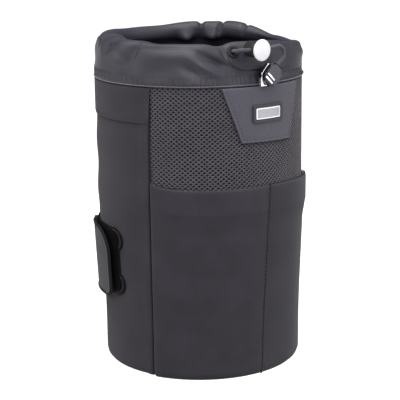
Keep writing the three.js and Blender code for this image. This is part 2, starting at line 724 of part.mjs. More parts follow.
const stemRadius = boreRadius - STEM_CLEARANCE;
const slotLow = CORD_DEPTH - crossRadius;
const slotHigh = CORD_DEPTH + crossRadius + PRESS;
const stemEnd = slotLow - 0.6;
const headLow = BARREL_LENGTH + PRESS + SEWN_GAP;
const headHigh = headLow + HEAD_THICK;
const plungerBody = bodyOf(atLock(new THREE.LatheGeometry([
  [0, stemEnd],
  [stemRadius, stemEnd],
  [stemRadius, headLow],
  [HEAD / 2 - 0.4, headLow],
  [HEAD / 2, headLow + 0.4],
  [HEAD / 2, headHigh - 0.4],
  [HEAD / 2 - 0.4, headHigh],
  [0, headHigh],
].map(([radius, along]) => new THREE.Vector2(radius, along)), 28)));
const slotCut = bodyOf(
  new THREE.BoxGeometry(2 * BARREL, slotHigh - slotLow, 2 * crossRadius)
    .translate(LOCK_X, -LOCK_BACK - (slotLow + slotHigh) / 2, lockHeight),
);
add('lock_plunger', geometryOf(plungerBody.subtract(slotCut)), 'button');

const springLow = BARREL_FLOOR + SEWN_GAP + SPRING_WIRE / 2;
const springHigh = stemEnd - SEWN_GAP - SPRING_WIRE / 2;
const springRadius = stemRadius - SPRING_WIRE;
const springPoints = [];
for (let i = 0; i <= 30; i += 1) {
  const angle = 2 * Math.PI * SPRING_TURNS * i / 30;
  springPoints.push(new THREE.Vector3(
    LOCK_X + springRadius * Math.cos(angle),
    -LOCK_BACK - THREE.MathUtils.lerp(springLow, springHigh, i / 30),
    lockHeight + springRadius * Math.sin(angle),
  ));
}
const wireSection = new THREE.Shape();
wireSection.absarc(0, 0, SPRING_WIRE / 2, 0, 2 * Math.PI);
add('lock_spring', new THREE.ExtrudeGeometry(wireSection, {
  steps: 30,
  extrudePath: new THREE.CatmullRomCurve3(springPoints),
  curveSegments: 3,
}), 'steel');

// Cord end: two chamfered shells closed over the cord, with two grip ribs across the front.
function endOutline() {
  const half = END_WIDTH / 2 - END_BEVEL;
  const low = -END_LENGTH + END_BEVEL;
  const high = -END_BEVEL;
  return new THREE.Shape([
    [-half + END_CHAMFER, low],
    [half - END_CHAMFER, low],
    [half, low + END_CHAMFER],
    [half, high - END_CHAMFER],
    [half - END_CHAMFER, high],
    [-half + END_CHAMFER, high],
    [-half, high - END_CHAMFER],
    [-half, low + END_CHAMFER],
  ].map(([x, y]) => new THREE.Vector2(x, y)));
}

function atEnd(geometry) {
  return geometry
    .rotateX(Math.PI / 2)
    .rotateY(END_TILT)
    .translate(endTop.x, cordLine, endTop.z);
}

const endBlock = bodyOf(atEnd(
  new THREE.ExtrudeGeometry(endOutline(), {
    depth: END_THICK - 2 * END_BEVEL,
    bevelThickness: END_BEVEL,
    bevelSize: END_BEVEL,
    bevelSegments: 1,
  }).translate(0, 0, END_BEVEL - END_THICK / 2),
));
const endBore = bodyOf(atEnd(
  new THREE.CylinderGeometry(crossRadius, crossRadius, END_BORE + 2, 14).translate(0, 1 - END_BORE / 2, 0),
));
const shellHalf = (END_THICK - SEWN_GAP) / 2;
function endHalf(front) {
  const middle = front * (shellHalf / 2 + SEWN_GAP / 2);
  return bodyOf(atEnd(
    new THREE.BoxGeometry(2 * END_WIDTH, 3 * END_LENGTH, shellHalf).translate(0, 0, middle),
  ));
}
let endFront = endBlock.intersect(endHalf(1)).subtract(endBore);
for (const along of [0.6, 0.74]) {
  const rib = bodyOf(atEnd(
    new THREE.BoxGeometry(END_WIDTH * 0.6, RIB * 1.6, 2 * RIB).translate(0, -END_LENGTH * along, END_THICK / 2),
  ));
  endFront = endFront.add(rib);
}
add('cord_end_front', geometryOf(endFront), 'gunmetal');
add('cord_end_back', geometryOf(endBlock.intersect(endHalf(-1)).subtract(endBore)), 'gunmetal');

export default pouch;
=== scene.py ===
import math

import bmesh
import bpy
import numpy as np
from mathutils import Matrix, Vector


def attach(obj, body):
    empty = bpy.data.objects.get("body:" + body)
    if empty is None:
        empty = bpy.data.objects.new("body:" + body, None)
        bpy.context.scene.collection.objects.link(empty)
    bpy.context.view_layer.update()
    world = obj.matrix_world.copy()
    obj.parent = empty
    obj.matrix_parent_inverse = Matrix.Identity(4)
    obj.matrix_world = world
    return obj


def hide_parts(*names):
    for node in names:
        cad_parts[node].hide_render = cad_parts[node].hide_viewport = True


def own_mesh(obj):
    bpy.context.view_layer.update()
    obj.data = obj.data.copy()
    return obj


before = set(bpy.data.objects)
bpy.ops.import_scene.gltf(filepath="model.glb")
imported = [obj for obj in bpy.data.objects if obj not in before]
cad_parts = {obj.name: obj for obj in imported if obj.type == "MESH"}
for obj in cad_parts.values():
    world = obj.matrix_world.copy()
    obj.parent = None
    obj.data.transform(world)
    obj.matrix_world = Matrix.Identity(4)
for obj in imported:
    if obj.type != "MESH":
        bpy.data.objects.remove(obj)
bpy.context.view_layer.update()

# Studio: a seamless white floor under a pale sky, with tall soft boxes on both sides, one overhead and one
# ahead. The camera has a long lens, stands to the left of the pouch's front and looks a little down on it.
MM = 0.001
TURN = 2 * math.pi
CAMERA_TURN = math.radians(-38)
CAMERA_REACH = 800 * MM
CAMERA_HEIGHT = 286.75 * MM
CAMERA_ASIDE = -0.133 * MM
CAMERA_PITCH = 0.232
CAMERA_ROLL = 0.012
SENSOR_WIDTH = 36
FOCAL_PIXELS = 1299.1
PICTURE_PIXELS = 400
FLOOR_HALF = 8
SKY_STRENGTH = 0.2


class Value:
    """A number on its way through a node tree: arithmetic on it adds Math nodes."""

    def __init__(self, tree, socket):
        self.tree = tree
        self.socket = socket

    def math(self, operation, *others):
        made = self.tree.nodes.new("ShaderNodeMath")
        made.operation = operation
        for entry, value in zip(made.inputs, (self, *others)):
            feed(self.tree, entry, value)
        return Value(self.tree, made.outputs[0])

    def __add__(self, other):
        return self.math("ADD", other)

    __radd__ = __add__

    def __sub__(self, other):
        return self.math("SUBTRACT", other)

    def __rsub__(self, other):
        return self.math("MULTIPLY_ADD", -1, other)

    def __mul__(self, other):
        return self.math("MULTIPLY", other)

    __rmul__ = __mul__

    def __truediv__(self, other):
        return self.math("DIVIDE", other)

    def sine(self):
        return self.math("SINE")

    def cosine(self):
        return self.math("COSINE")

    def absolute(self):
        return self.math("ABSOLUTE")


def feed(tree, entry, value):
    """Links a value to a socket, or sets the socket to a plain number, colour or setting."""
    if isinstance(value, Value):
        tree.links.new(value.socket, entry)
    else:
        entry.default_value = value


class Graph:
    """A node tree; node() makes one node from its type, its settings and its sockets."""

    def __init__(self, tree):
        self.tree = tree

    def node(self, kind, settings=None, sockets=None):
        made = self.tree.nodes.new(kind)
        for name, value in (settings or {}).items():
            setattr(made, name, value)
        for name, value in (sockets or {}).items():
            entry = next(s for s in made.inputs if s.name == name and s.enabled)
            feed(self.tree, entry, value)
        return {s.name: Value(self.tree, s) for s in made.outputs if s.enabled}

    def split(self, vector):
        """A vector's X, Y and Z."""
        return self.node("ShaderNodeSeparateXYZ", None, {"Vector": vector})

    def join(self, **parts):
        """A vector from its X, Y and Z."""
        return self.node("ShaderNodeCombineXYZ", None, parts)["Vector"]


class Finish(Graph):
    """A material on one Principled shader, whose constant sockets are given by name."""

    def __init__(self, name, constants):
        self.material = bpy.data.materials.new(name)
        self.material.use_nodes = True
        super().__init__(self.material.node_tree)
        self.shader = self.tree.nodes["Principled BSDF"]
        for socket, value in constants.items():
            self.shader.inputs[socket].default_value = value

    def set(self, socket, value):
        feed(self.tree, self.shader.inputs[socket], value)

    def place(self):
        """The place of a point on the piece, which moves with it."""
        return self.node("ShaderNodeTexCoord")["Object"]

    def noise(self, per_metre, detail=2.0):
        """A cloudy value around 0.5 that stays with the piece."""
        sockets = {"Vector": self.place(), "Scale": per_metre, "Detail": detail}
        return self.node("ShaderNodeTexNoise", None, sockets)["Fac"]

    def blend(self, low, high, share):
        """A colour between two others."""
        sockets = {"Factor": share, "A": low, "B": high}
        settings = {"data_type": "RGBA", "clamp_factor": True}
        return self.node("ShaderNodeMix", settings, sockets)["Result"]

    def tint(self, colour, low, high, share):
        """The base colour, between a darker and a lighter level of one colour."""
        self.set("Base Color", self.blend(shade(*colour, low), shade(*colour, high), share))

    def relief(self, height, depth):
        """Fine relief of the given depth in metres."""
        sockets = {"Height": height, "Distance": depth}
        self.set("Normal", self.node("ShaderNodeBump", None, sockets)["Normal"])


def shade(red, green, blue, level=1.0):
    """A colour as it looks on the object, as the linear values that a shader takes."""
    linear = [level * ((part / 255 + 0.055) / 1.055) ** 2.4 for part in (red, green, blue)]
    return (*linear, 1)


def add_object(name, data):
    made = bpy.data.objects.new(name, data)
    bpy.context.scene.collection.objects.link(made)
    return made


def soft_box(name, place, aim, width, height, power):
    light = bpy.data.lights.new(name, "AREA")
    light.shape = "RECTANGLE"
    light.size = width
    light.size_y = height
    light.energy = power
    lamp = add_object(name, light)
    lamp.location = place
    lamp.rotation_mode = "QUATERNION"
    lamp.rotation_quaternion = (Vector(aim) - Vector(place)).to_track_quat("-Z", "Y")


right = Vector((math.cos(CAMERA_TURN), math.sin(CAMERA_TURN), 0))
outward = Vector((math.sin(CAMERA_TURN), -math.cos(CAMERA_TURN), 0))
upright = Vector((0, 0, 1))
back = outward * math.cos(CAMERA_PITCH) + upright * math.sin(CAMERA_PITCH)
level = Matrix((right, back.cross(right), back)).transposed().to_4x4()
standpoint = outward * CAMERA_REACH + right * CAMERA_ASIDE + upright * CAMERA_HEIGHT
camera = add_object("camera", bpy.data.cameras.new("camera"))
camera.data.sensor_width = SENSOR_WIDTH
camera.data.lens = SENSOR_WIDTH * FOCAL_PIXELS / PICTURE_PIXELS
camera.matrix_world = Matrix.Translation(standpoint) @ level @ Matrix.Rotation(-CAMERA_ROLL, 4, "Z")
bpy.context.scene.camera = camera
bpy.context.scene.view_settings.view_transform = "Standard"

pouch_middle = (0, 0, 100 * MM)
soft_box(
    "right_box", right * 0.95 + outward * 0.35 + upright * 0.45,
    pouch_middle, width=0.7, height=1.3, power=7.6,
)
soft_box(
    "left_box", right * -1.0 + outward * 0.25 + upright * 0.5,
    pouch_middle, width=0.7, height=1.3, power=7,
)
soft_box("top_box", outward * 0.15 + upright * 1.15, pouch_middle, width=1.0, height=1.0, power=18)
soft_box("front_box", outward * 1.2 + upright * 1.0, pouch_middle, width=0.9, height=0.9, power=16)

sky = bpy.data.worlds.new("sky")
sky.use_nodes = True
glow = sky.node_tree.nodes["Background"].inputs
glow["Color"].default_value = (1, 1, 1, 1)
glow["Strength"].default_value = SKY_STRENGTH
bpy.context.scene.world = sky

floor_mesh = bpy.data.meshes.new("floor")
corners = [(-1, -1), (1, -1), (1, 1), (-1, 1)]
floor_mesh.from_pydata([(FLOOR_HALF * x, FLOOR_HALF * y, 0) for x, y in corners], [], [(0, 1, 2, 3)])
floor = add_object("floor", floor_mesh)
floor.visible_diffuse = False
white_sweep = Finish("white_sweep", {"Roughness": 1.0, "Specular IOR Level": 0.0, "Emission Strength": 1.0})
white_sweep.set("Base Color", (0.3, 0.3, 0.3, 1))
white_sweep.set("Emission Color", (1, 1, 1, 1))
floor_mesh.materials.append(white_sweep.material)

# Side and back walls: tough softshell cloth, one panel on each side and one behind, sewn to each other,
# to the front and to the base. Each panel's lower edge curls in under the pouch.
BODY_HEIGHT = 178 * MM
BASE_RADIUS = 61 * MM
SEAM_RADIUS = 63.7 * MM
WAIST_LOW = 20 * MM
WAIST_HIGH = 115 * MM
BASE_EDGE = 4 * MM
FLOOR_GAP = 0.02 * MM
SEWN_GAP = 0.3 * MM
SEAM_OPEN = 0.8 * MM
SEAM_ROUND = 1.3 * MM
SHELL_CLOTH = 1.4 * MM
FRONT_HALF = math.radians(65)
BACK_HALF = math.radians(37)
WALL_TOP = BODY_HEIGHT - SEWN_GAP
CURL_FROM = math.radians(18)
ROLLED_SEAM = 0.55 * MM
ROLL_MIDDLE = 2.4 * MM
ROLL_REACH = 1.7 * MM
SEAM_SPREAD = math.radians(20)
SEAM_DRIFT = math.radians(1.1)
DRIFT_SPAN = (30 * MM, 120 * MM)
SEAM_BOW = math.radians(0.75)
BOW_SPAN = (140 * MM, 165 * MM)
SEAM_HEAD = math.radians(0.9)
HEAD_SPAN = (158 * MM, BODY_HEIGHT)
WALL_SWAY = 0.2 * MM
SLACK_TURN = math.radians(-123)
SLACK_DEPTH = 0.35 * MM
SLACK_CREST = 140 * MM
SLACK_WAVE = 31 * MM
SLACK_FROM = (92 * MM, 104 * MM)
SLACK_TO = (150 * MM, 164 * MM)
WEAR_REACH = 2.2 * MM


def eased(low, high, value):
    """0 below low, 1 above high and a smooth rise between."""
    share = np.clip((value - low) / (high - low), 0, 1)
    return share * share * (3 - 2 * share)


def even_shell(height):
    return BASE_RADIUS + (SEAM_RADIUS - BASE_RADIUS) * eased(WAIST_LOW, WAIST_HIGH, height)


def shell(turn, height):
    """The wall's outside radius: it widens through the waist and sways a little, as sewn foam does.
    On the left, slack cloth lies in a shallow wave."""
    sway = np.sin(3 * turn + 0.6) + 0.6 * np.sin(5 * turn + 2 + 40 * height)
    sway = WALL_SWAY * sway * np.sin(np.pi * np.clip(height / BODY_HEIGHT, 0, 1))
    slack = np.maximum(0, np.cos(turn - SLACK_TURN)) ** 6 * eased(*SLACK_FROM, height)
    slack = slack * (1 - eased(*SLACK_TO, height))
    wave = np.cos(TURN * (height - SLACK_CREST) / SLACK_WAVE)
    return even_shell(height) + sway + SLACK_DEPTH * slack * wave


def around(radius, turn, height):
    """Points at a radius, a turn from the front towards the right, and a height."""
    return np.stack([radius * np.sin(turn), -radius * np.cos(turn), height], axis=-1)


curl_length = BASE_EDGE * (math.pi / 2 - CURL_FROM)
wall_length = curl_length + WALL_TOP - BASE_EDGE


def seam_turn(turn, height):
    """The turn of cloth near the left seam, which leans forward at the collar and back towards the base."""
    near_seam = np.exp(-(((turn + FRONT_HALF) / SEAM_SPREAD) ** 2))
    drift = SEAM_DRIFT * (1 - eased(*DRIFT_SPAN, height))
    bow = SEAM_BOW * (1 - eased(*BOW_SPAN, height))
    return turn + near_seam * (SEAM_HEAD * eased(*HEAD_SPAN, height) - (drift + bow))


def on_wall(turn, along, lift):
    """Points on the wall: along runs from the edge under the base, round the curl and up the wall."""
    curl = np.clip(CURL_FROM + along / BASE_EDGE, CURL_FROM, math.pi / 2)
    height = np.where(
        along < curl_length,
        np.maximum(BASE_EDGE - (BASE_EDGE + lift) * np.cos(curl), FLOOR_GAP),
        BASE_EDGE + along - curl_length,
    )
    inset = (BASE_EDGE + lift) * (1 - np.sin(curl))
    turn = seam_turn(turn, height)
    return around(shell(turn, height) + lift - inset, turn, height)


def cut_line(length, step, edge):
    """Distances along a cut length: close together where an edge rounds over, even between."""
    even = np.linspace(edge, length - edge, max(2, round(length / step)))
    if edge == 0:
        return even
    rounding = edge * (1 - np.cos(np.radians([0, 30, 60])))
    return np.concatenate([rounding, even, length - rounding[::-1]])


def add_piece(name, mesh, finish):
    mesh.materials.clear()
    mesh.materials.append(finish.material)
    mesh.polygons.foreach_set("use_smooth", [True] * len(mesh.polygons))
    return add_object(name, mesh)


def sheet_piece(name, width, height, cloth, step, place, finish, loop=False, edge=None, thick=None):
    """A closed sheet of cloth with round edges; place(across, up) gives its outer face, and
    thick(across, up) its depth where it isn't one layer."""
    edge = edge or cloth / 2
    across = np.linspace(0, width, round(width / step) + 1) if loop else cut_line(width, step, edge)
    up = cut_line(height, step, edge)
    columns = len(across) - 1 if loop else len(across)
    grid_across, grid_up = np.meshgrid(across[:columns], up, indexing="ij")
    outer = place(grid_across, grid_up)
    if loop:
        sideways = np.roll(outer, -1, 0) - np.roll(outer, 1, 0)
    else:
        sideways = np.gradient(outer, axis=0)
    normal = np.cross(sideways, np.gradient(outer, axis=1))
    normal /= np.linalg.norm(normal, axis=2, keepdims=True)
    margin = np.minimum(grid_up, height - grid_up)
    if not loop:
        margin = np.minimum(margin, np.minimum(grid_across, width - grid_across))
    swell = np.sqrt(1 - (1 - np.clip(margin / edge, 0, 1)) ** 2)[..., None]
    depth = np.full(margin.shape, cloth) if thick is None else thick(grid_across, grid_up)
    half = depth[..., None] / 2
    middle = outer - normal * half
    inside = margin > edge * 1e-6
    front = np.arange(columns * len(up)).reshape(columns, len(up))
    rear = np.where(inside, front.size - 1 + np.cumsum(inside).reshape(inside.shape), front)
    points = np.concatenate([
        (middle + normal * half * swell).reshape(-1, 3),
        (middle - normal * half * swell)[inside],
    ])
    here = np.arange(len(across) - 1)
    there = (here + 1) % columns
    low = np.arange(len(up) - 1)
    corner_columns = [here, there, there, here]
    corner_rows = [low, low, low + 1, low + 1]
    quads = [np.stack([ids[np.ix_(c, r)] for c, r in zip(corner_columns, corner_rows)], -1).reshape(-1, 4)
             for ids in (front, rear)]
    faces = np.concatenate([quads[0], quads[1][:, ::-1]])
    spread = np.stack(np.meshgrid(across, up, indexing="ij"), -1)
    ahead = [here, here + 1, here + 1, here]
    cloth_map = np.stack([spread[np.ix_(c, r)] for c, r in zip(ahead, corner_rows)], 2).reshape(-1, 4, 2)
    cloth_map = np.concatenate([cloth_map, cloth_map[:, ::-1]])
    mesh = bpy.data.meshes.new(name)
    mesh.from_pydata(points.tolist(), [], faces.tolist())
    mesh.uv_layers.new(name="cloth").data.foreach_set("uv", cloth_map.ravel())
    worn = np.concatenate([margin.ravel(), margin[inside]])
    wear = mesh.attributes.new("edge_wear", "FLOAT", "POINT")
    wear.data.foreach_set("value", np.exp(-worn / WEAR_REACH))
    return add_piece(name, mesh, finish)


def sew_on(piece, body, slot, *nodes):
    """The piece moves with a body and stands for its solids; slot is not used."""
    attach(piece, body)
    if nodes:
        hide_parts(*nodes)
    return piece


def plain_weave(u, v):
    return (u * TURN).sine() * (v * TURN).sine()


def cloth_finish(name, colour, threads, pitch, depth, roughness, gloss, sheen, contrast=0.3):
    """Woven or knitted cloth: threads(u, v) gives its weave, with lint, faint clouding and worn edges."""
    finish = Finish(name, {"Specular IOR Level": gloss, "Sheen Weight": sheen, "Sheen Roughness": 0.45})
    placed = finish.node("ShaderNodeUVMap", {"uv_map": "cloth"})["UV"]
    flat = finish.split(placed)
    weave = threads(flat["X"] / pitch, flat["Y"] / pitch)
    lint = finish.noise(1400, 3.0)
    cloud = finish.noise(55, 3.0)
    worn = finish.node("ShaderNodeAttribute", {"attribute_name": "edge_wear"})["Fac"]
    tone = 0.5 + contrast * weave + 0.5 * (lint - 0.5) + 0.9 * (cloud - 0.5) + 0.18 * worn
    finish.tint(colour, 0.62, 1.38, tone)
    finish.set("Roughness", roughness + 0.16 * (lint - 0.5) + 0.1 * (cloud - 0.5))
    finish.relief(weave + 1.6 * lint, depth)
    return finish


softshell = cloth_finish(
    "softshell", (51, 48, 54), plain_weave,
    pitch=0.55 * MM, depth=0.05 * MM, roughness=0.85, gloss=0.12, sheen=0.08,
)
back_from = math.pi - BACK_HALF
side_middles = {"left": -(FRONT_HALF + back_from) / 2, "right": (FRONT_HALF + back_from) / 2}
side_width = (back_from - FRONT_HALF) * BASE_RADIUS - SEAM_OPEN
back_width = 2 * BACK_HALF * BASE_RADIUS - SEWN_GAP


def wall_panel(name, middle, width, front_edge):
    """A wall panel about its middle turn; its seam with the front is rolled over."""

    def place(across, up):
        turn = middle + (across - width / 2) / BASE_RADIUS
        roll = 0
        if front_edge is not None:
            from_seam = np.abs(across - front_edge)
            roll = ROLLED_SEAM * np.exp(-((from_seam - ROLL_MIDDLE) / ROLL_REACH) ** 2)
        return on_wall(turn, up, roll)

    return sheet_piece(name, width, wall_length, SHELL_CLOTH, 2 * MM, place, softshell, edge=SEAM_ROUND)


for side, middle in side_middles.items():
    front_edge = side_width if side == "left" else 0
    panel = wall_panel(f"{side}_side_cloth", middle, side_width, front_edge)
    sew_on(panel, "pouch", "nylon", f"{side}_side_panel")
back_cloth = wall_panel("back_cloth", math.pi, back_width, None)
sew_on(back_cloth, "pouch", "nylon", "back_panel")

# Padding: closed-cell foam, one pad behind each wall panel and a disc in the base, laid in loose
# between the outer cloth and the lining. A stiff fibre board under the disc keeps the base flat.
FOAM = 4 * MM
BOARD = 1.5 * MM
BOARD_RADIUS = 56.7 * MM
BOARD_ROUND = 0.4 * MM
PADDING_LOW = 4.3 * MM
DISC_RADIUS = 55 * MM
DISC_ROUND = 1.2 * MM
foam_lift = -SHELL_CLOTH - SEWN_GAP


def cell_finish(name, colour, per_metre, depth, roughness):
    """A solid of fine cells or fibres, such as foam, felt or pressed board."""
    finish = Finish(name, {"Specular IOR Level": 0.2})
    sockets = {"Vector": finish.place(), "Scale": per_metre}
    cells = finish.node("ShaderNodeTexVoronoi", None, sockets)["Distance"]
    cloud = finish.noise(90, 3.0)
    finish.tint(colour, 0.7, 1.3, cells + 0.6 * (cloud - 0.5))
    finish.set("Roughness", roughness + 0.2 * (cloud - 0.5))
    finish.relief(cells, depth)
    return finish


foam = cell_finish("closed_cell_foam", (44, 44, 47), per_metre=1100, depth=0.12 * MM, roughness=0.9)
fibre_board = cell_finish("fibre_board", (30, 30, 32), per_metre=2600, depth=0.03 * MM, roughness=0.75)
padding_turns = {
    "front": (0, 2 * FRONT_HALF),
    "right": (side_middles["right"], back_from - FRONT_HALF),
    "back": (math.pi, 2 * BACK_HALF),
    "left": (side_middles["left"], back_from - FRONT_HALF),
}
for side, (middle, sweep) in padding_turns.items():
    pad_width = sweep * (BASE_RADIUS + foam_lift) - SEWN_GAP

    def pad_place(across, up, middle=middle, width=pad_width):
        turn = middle + (across - width / 2) / (BASE_RADIUS + foam_lift)
        height = PADDING_LOW + up
        return around(shell(turn, height) + foam_lift, turn, height)

    pad = sheet_piece(f"{side}_padding", pad_width, WALL_TOP - PADDING_LOW, FOAM, 4 * MM, pad_place, foam)
    sew_on(pad, "pouch", "foam", f"{side}_foam")


def soft_outline(corners, arc_points=5):
    """A closed outline of (x, y, corner radius) points with each corner rounded by an arc."""
    outline = []
    for i, (x, y, radius) in enumerate(corners):
        here = np.array([x, y], float)
        if radius == 0:
            outline.append(here)
            continue
        before = np.array(corners[i - 1][:2], float) - here
        after = np.array(corners[(i + 1) % len(corners)][:2], float) - here
        before /= np.linalg.norm(before)
        after /= np.linalg.norm(after)
        half = math.acos(float(np.clip(before @ after, -1, 1))) / 2
        middle = here + (before + after) / np.linalg.norm(before + after) * radius / math.sin(half)
        start = here + before * radius / math.tan(half) - middle
        sweep = math.pi - 2 * half
        sense = math.copysign(1, before[0] * after[1] - before[1] * after[0])
        for angle in np.linspace(0, -sense * sweep, arc_points):
            c, s = math.cos(angle), math.sin(angle)
            outline.append(middle + np.array([c * start[0] - s * start[1], s * start[0] + c * start[1]]))
    return np.array(outline)


def travelled(path):
    """The distance from a line's start to each of its points."""
    return np.concatenate([[0], np.cumsum(np.linalg.norm(np.diff(path, axis=0), axis=1))])


def turned_piece(name, profile, segments, finish, place=Matrix.Identity(4)):
    """A piece turned about its axis from a closed profile of (radius, along) points."""
    mesh = bpy.data.meshes.new(name)
    build = bmesh.new()
    cloth = build.loops.layers.uv.new("cloth")
    circle = [(math.cos(TURN * i / segments), math.sin(TURN * i / segments)) for i in range(segments)]
    rings = []
    for radius, along in profile:
        if radius < 1e-7:
            rings.append([build.verts.new((0, 0, along))] * segments)
        else:
            rings.append([build.verts.new((radius * c, radius * s, along)) for c, s in circle])
    travel = travelled([*profile, profile[0]])
    girth = max(radius for radius, _ in profile)
    for k in range(len(profile)):
        low, high = rings[k], rings[(k + 1) % len(profile)]
        for i in range(segments):
            j = (i + 1) % segments
            loop = [(low[i], i, k), (low[j], i + 1, k), (high[j], i + 1, k + 1), (high[i], i, k + 1)]
            kept = [corner for n, corner in enumerate(loop) if corner[0] is not loop[n - 1][0]]
            if len(kept) < 3:
                continue
            face = build.faces.new([vert for vert, _, _ in kept])
            for corner, (_, column, row) in zip(face.loops, kept):
                corner[cloth].uv = (girth * TURN * column / segments, travel[row])
    build.transform(place)
    build.to_mesh(mesh)
    build.free()
    return add_piece(name, mesh, finish)


def disc_profile(radius, low, high, edge):
    """A disc's half profile with rounded rims, from the axis out and back."""
    return soft_outline([(0, low, 0), (radius, low, edge), (radius, high, edge), (0, high, 0)])


board_low = SHELL_CLOTH + SEWN_GAP
board_profile = disc_profile(BOARD_RADIUS, board_low, board_low + BOARD, BOARD_ROUND)
board = turned_piece("base_stiffener", board_profile, 96, fibre_board)
sew_on(board, "pouch", "board", "base_board")
disc_low = board_low + BOARD + SEWN_GAP
pad_profile = disc_profile(DISC_RADIUS, disc_low, disc_low + FOAM, DISC_ROUND)
base_pad = turned_piece("base_padding", pad_profile, 96, foam)
sew_on(base_pad, "pouch", "foam", "base_foam")

# Base panel: a disc of the wall's softshell, sewn inside the curled lower edges of the walls, so that
# only a thin line of it shows from the side.
BASE_DISC = 57.6 * MM
BASE_ROUND = 0.65 * MM
base_cloth = turned_piece("base_cloth", disc_profile(BASE_DISC, 0, SHELL_CLOTH, BASE_ROUND), 120, softshell)
sew_on(base_cloth, "pouch", "nylon", "base_panel")

# Lining: a smooth cup of thin coated taffeta, made of a floor disc and a wall. It lies over the padding and
# is sewn in at the collar seam.
LINING_CLOTH = 0.8 * MM
LINING_LOW = 7.8 * MM
LINING_ROUND = 3 * MM
lining_lift = foam_lift - FOAM - SEWN_GAP


def taffeta_ribs(u, v):
    return 0.5 * (u * TURN).sine() * (v * TURN).sine() + 0.5 * (v * TURN * 0.5).sine()


# The lining is coloured very dark: its own dark colour, darkened further as painted shade inside the pouch.
taffeta = cloth_finish(
    "lining_taffeta", (30, 29, 33), taffeta_ribs,
    pitch=0.4 * MM, depth=0.03 * MM, roughness=0.5, gloss=0.25, sheen=0.0, contrast=0.15,
)
lining_foot = BASE_RADIUS + lining_lift
lining_floor = LINING_LOW + LINING_CLOTH
lining_heights = [*np.linspace(WAIST_LOW, WAIST_HIGH, 8), WALL_TOP]
lining_wall = [(even_shell(height) + lining_lift, height, 0) for height in lining_heights]
cup = [(0, LINING_LOW, 0), (lining_foot, LINING_LOW, LINING_ROUND), *lining_wall]
cup += [(radius - LINING_CLOTH, height, 0) for radius, height, _ in lining_wall[::-1]]
cup += [(lining_foot - LINING_CLOTH, lining_floor, LINING_ROUND - LINING_CLOTH), (0, lining_floor, 0)]
lining = turned_piece("lining_cup", soft_outline(cup), 120, taffeta)
sew_on(lining, "pouch", "lining", "inner_lining")
lining_area = TURN * lining_foot * (WALL_TOP - LINING_LOW) + math.pi * lining_foot ** 2
lining_flat = (TURN * lining_foot, WALL_TOP - LINING_LOW + lining_foot / 2)

# Front panel: open knitted mesh between the side seams, backed by dark cloth. The holes lie in staggered
# rows; the knit is a net of thick yarn diamonds, each caught on its neighbours.
MESH_PITCH = 3.2 * MM
MESH_ROW = 1.32 * MM
MESH_YARN = 1.05 * MM
MESH_LOW = 108 * MM
MESH_UNEVEN = 0.07
DIAMOND_WIDE = 0.46
DIAMOND_HIGH = 0.92
BACKING_CLOTH = 0.6 * MM
front_width = 2 * FRONT_HALF * BASE_RADIUS - SEAM_OPEN


def plain_mesh(holder):
    """What an object's outlines and modifiers give, as a plain mesh."""
    seen = holder.evaluated_get(bpy.context.evaluated_depsgraph_get())
    return bpy.data.meshes.new_from_object(seen)


class Pattern(Graph):
    """A Geometry Nodes tree with named sizes, run once on a mesh to give a plain mesh."""

    def __init__(self, name, sizes):
        super().__init__(bpy.data.node_groups.new(name, "GeometryNodeTree"))
        face = self.tree.interface
        face.new_socket("Geometry", in_out="OUTPUT", socket_type="NodeSocketGeometry")
        face.new_socket("Geometry", in_out="INPUT", socket_type="NodeSocketGeometry")
        finish = face.new_socket("Finish", in_out="INPUT", socket_type="NodeSocketMaterial")
        self.finish_id = finish.identifier
        self.size_ids = {}
        for size in sizes:
            socket = face.new_socket(size, in_out="INPUT", socket_type="NodeSocketFloat")
            self.size_ids[size] = socket.identifier
        entry = self.tree.nodes.new("NodeGroupInput")
        self.given = {s.name: Value(self.tree, s) for s in entry.outputs if s.name}

    def spot(self):
        """A point's X, Y and Z."""
        return self.split(self.node("GeometryNodeInputPosition")["Position"])

    def close(self, instances):
        """Ends the tree: the copies become real faces of the given finish."""
        real = self.node("GeometryNodeRealizeInstances", None, {"Geometry": instances})["Geometry"]
        sockets = {"Geometry": real, "Material": self.given["Finish"]}
        painted = self.node("GeometryNodeSetMaterial", None, sockets)["Geometry"]
        self.node("NodeGroupOutput", None, {"Geometry": painted})

    def run(self, name, start, finish, sizes):
        """Runs the tree on a starting mesh and keeps what it makes as a piece."""
        holder = add_object(name + "_start", start)
        modifier = holder.modifiers.new("pattern", "NODES")
        modifier.node_group = self.tree
        modifier[self.finish_id] = finish.material
        for size, value in sizes.items():
            modifier[self.size_ids[size]] = value
        mesh = plain_mesh(holder)
        bpy.data.objects.remove(holder)
        return add_piece(name, mesh, finish)


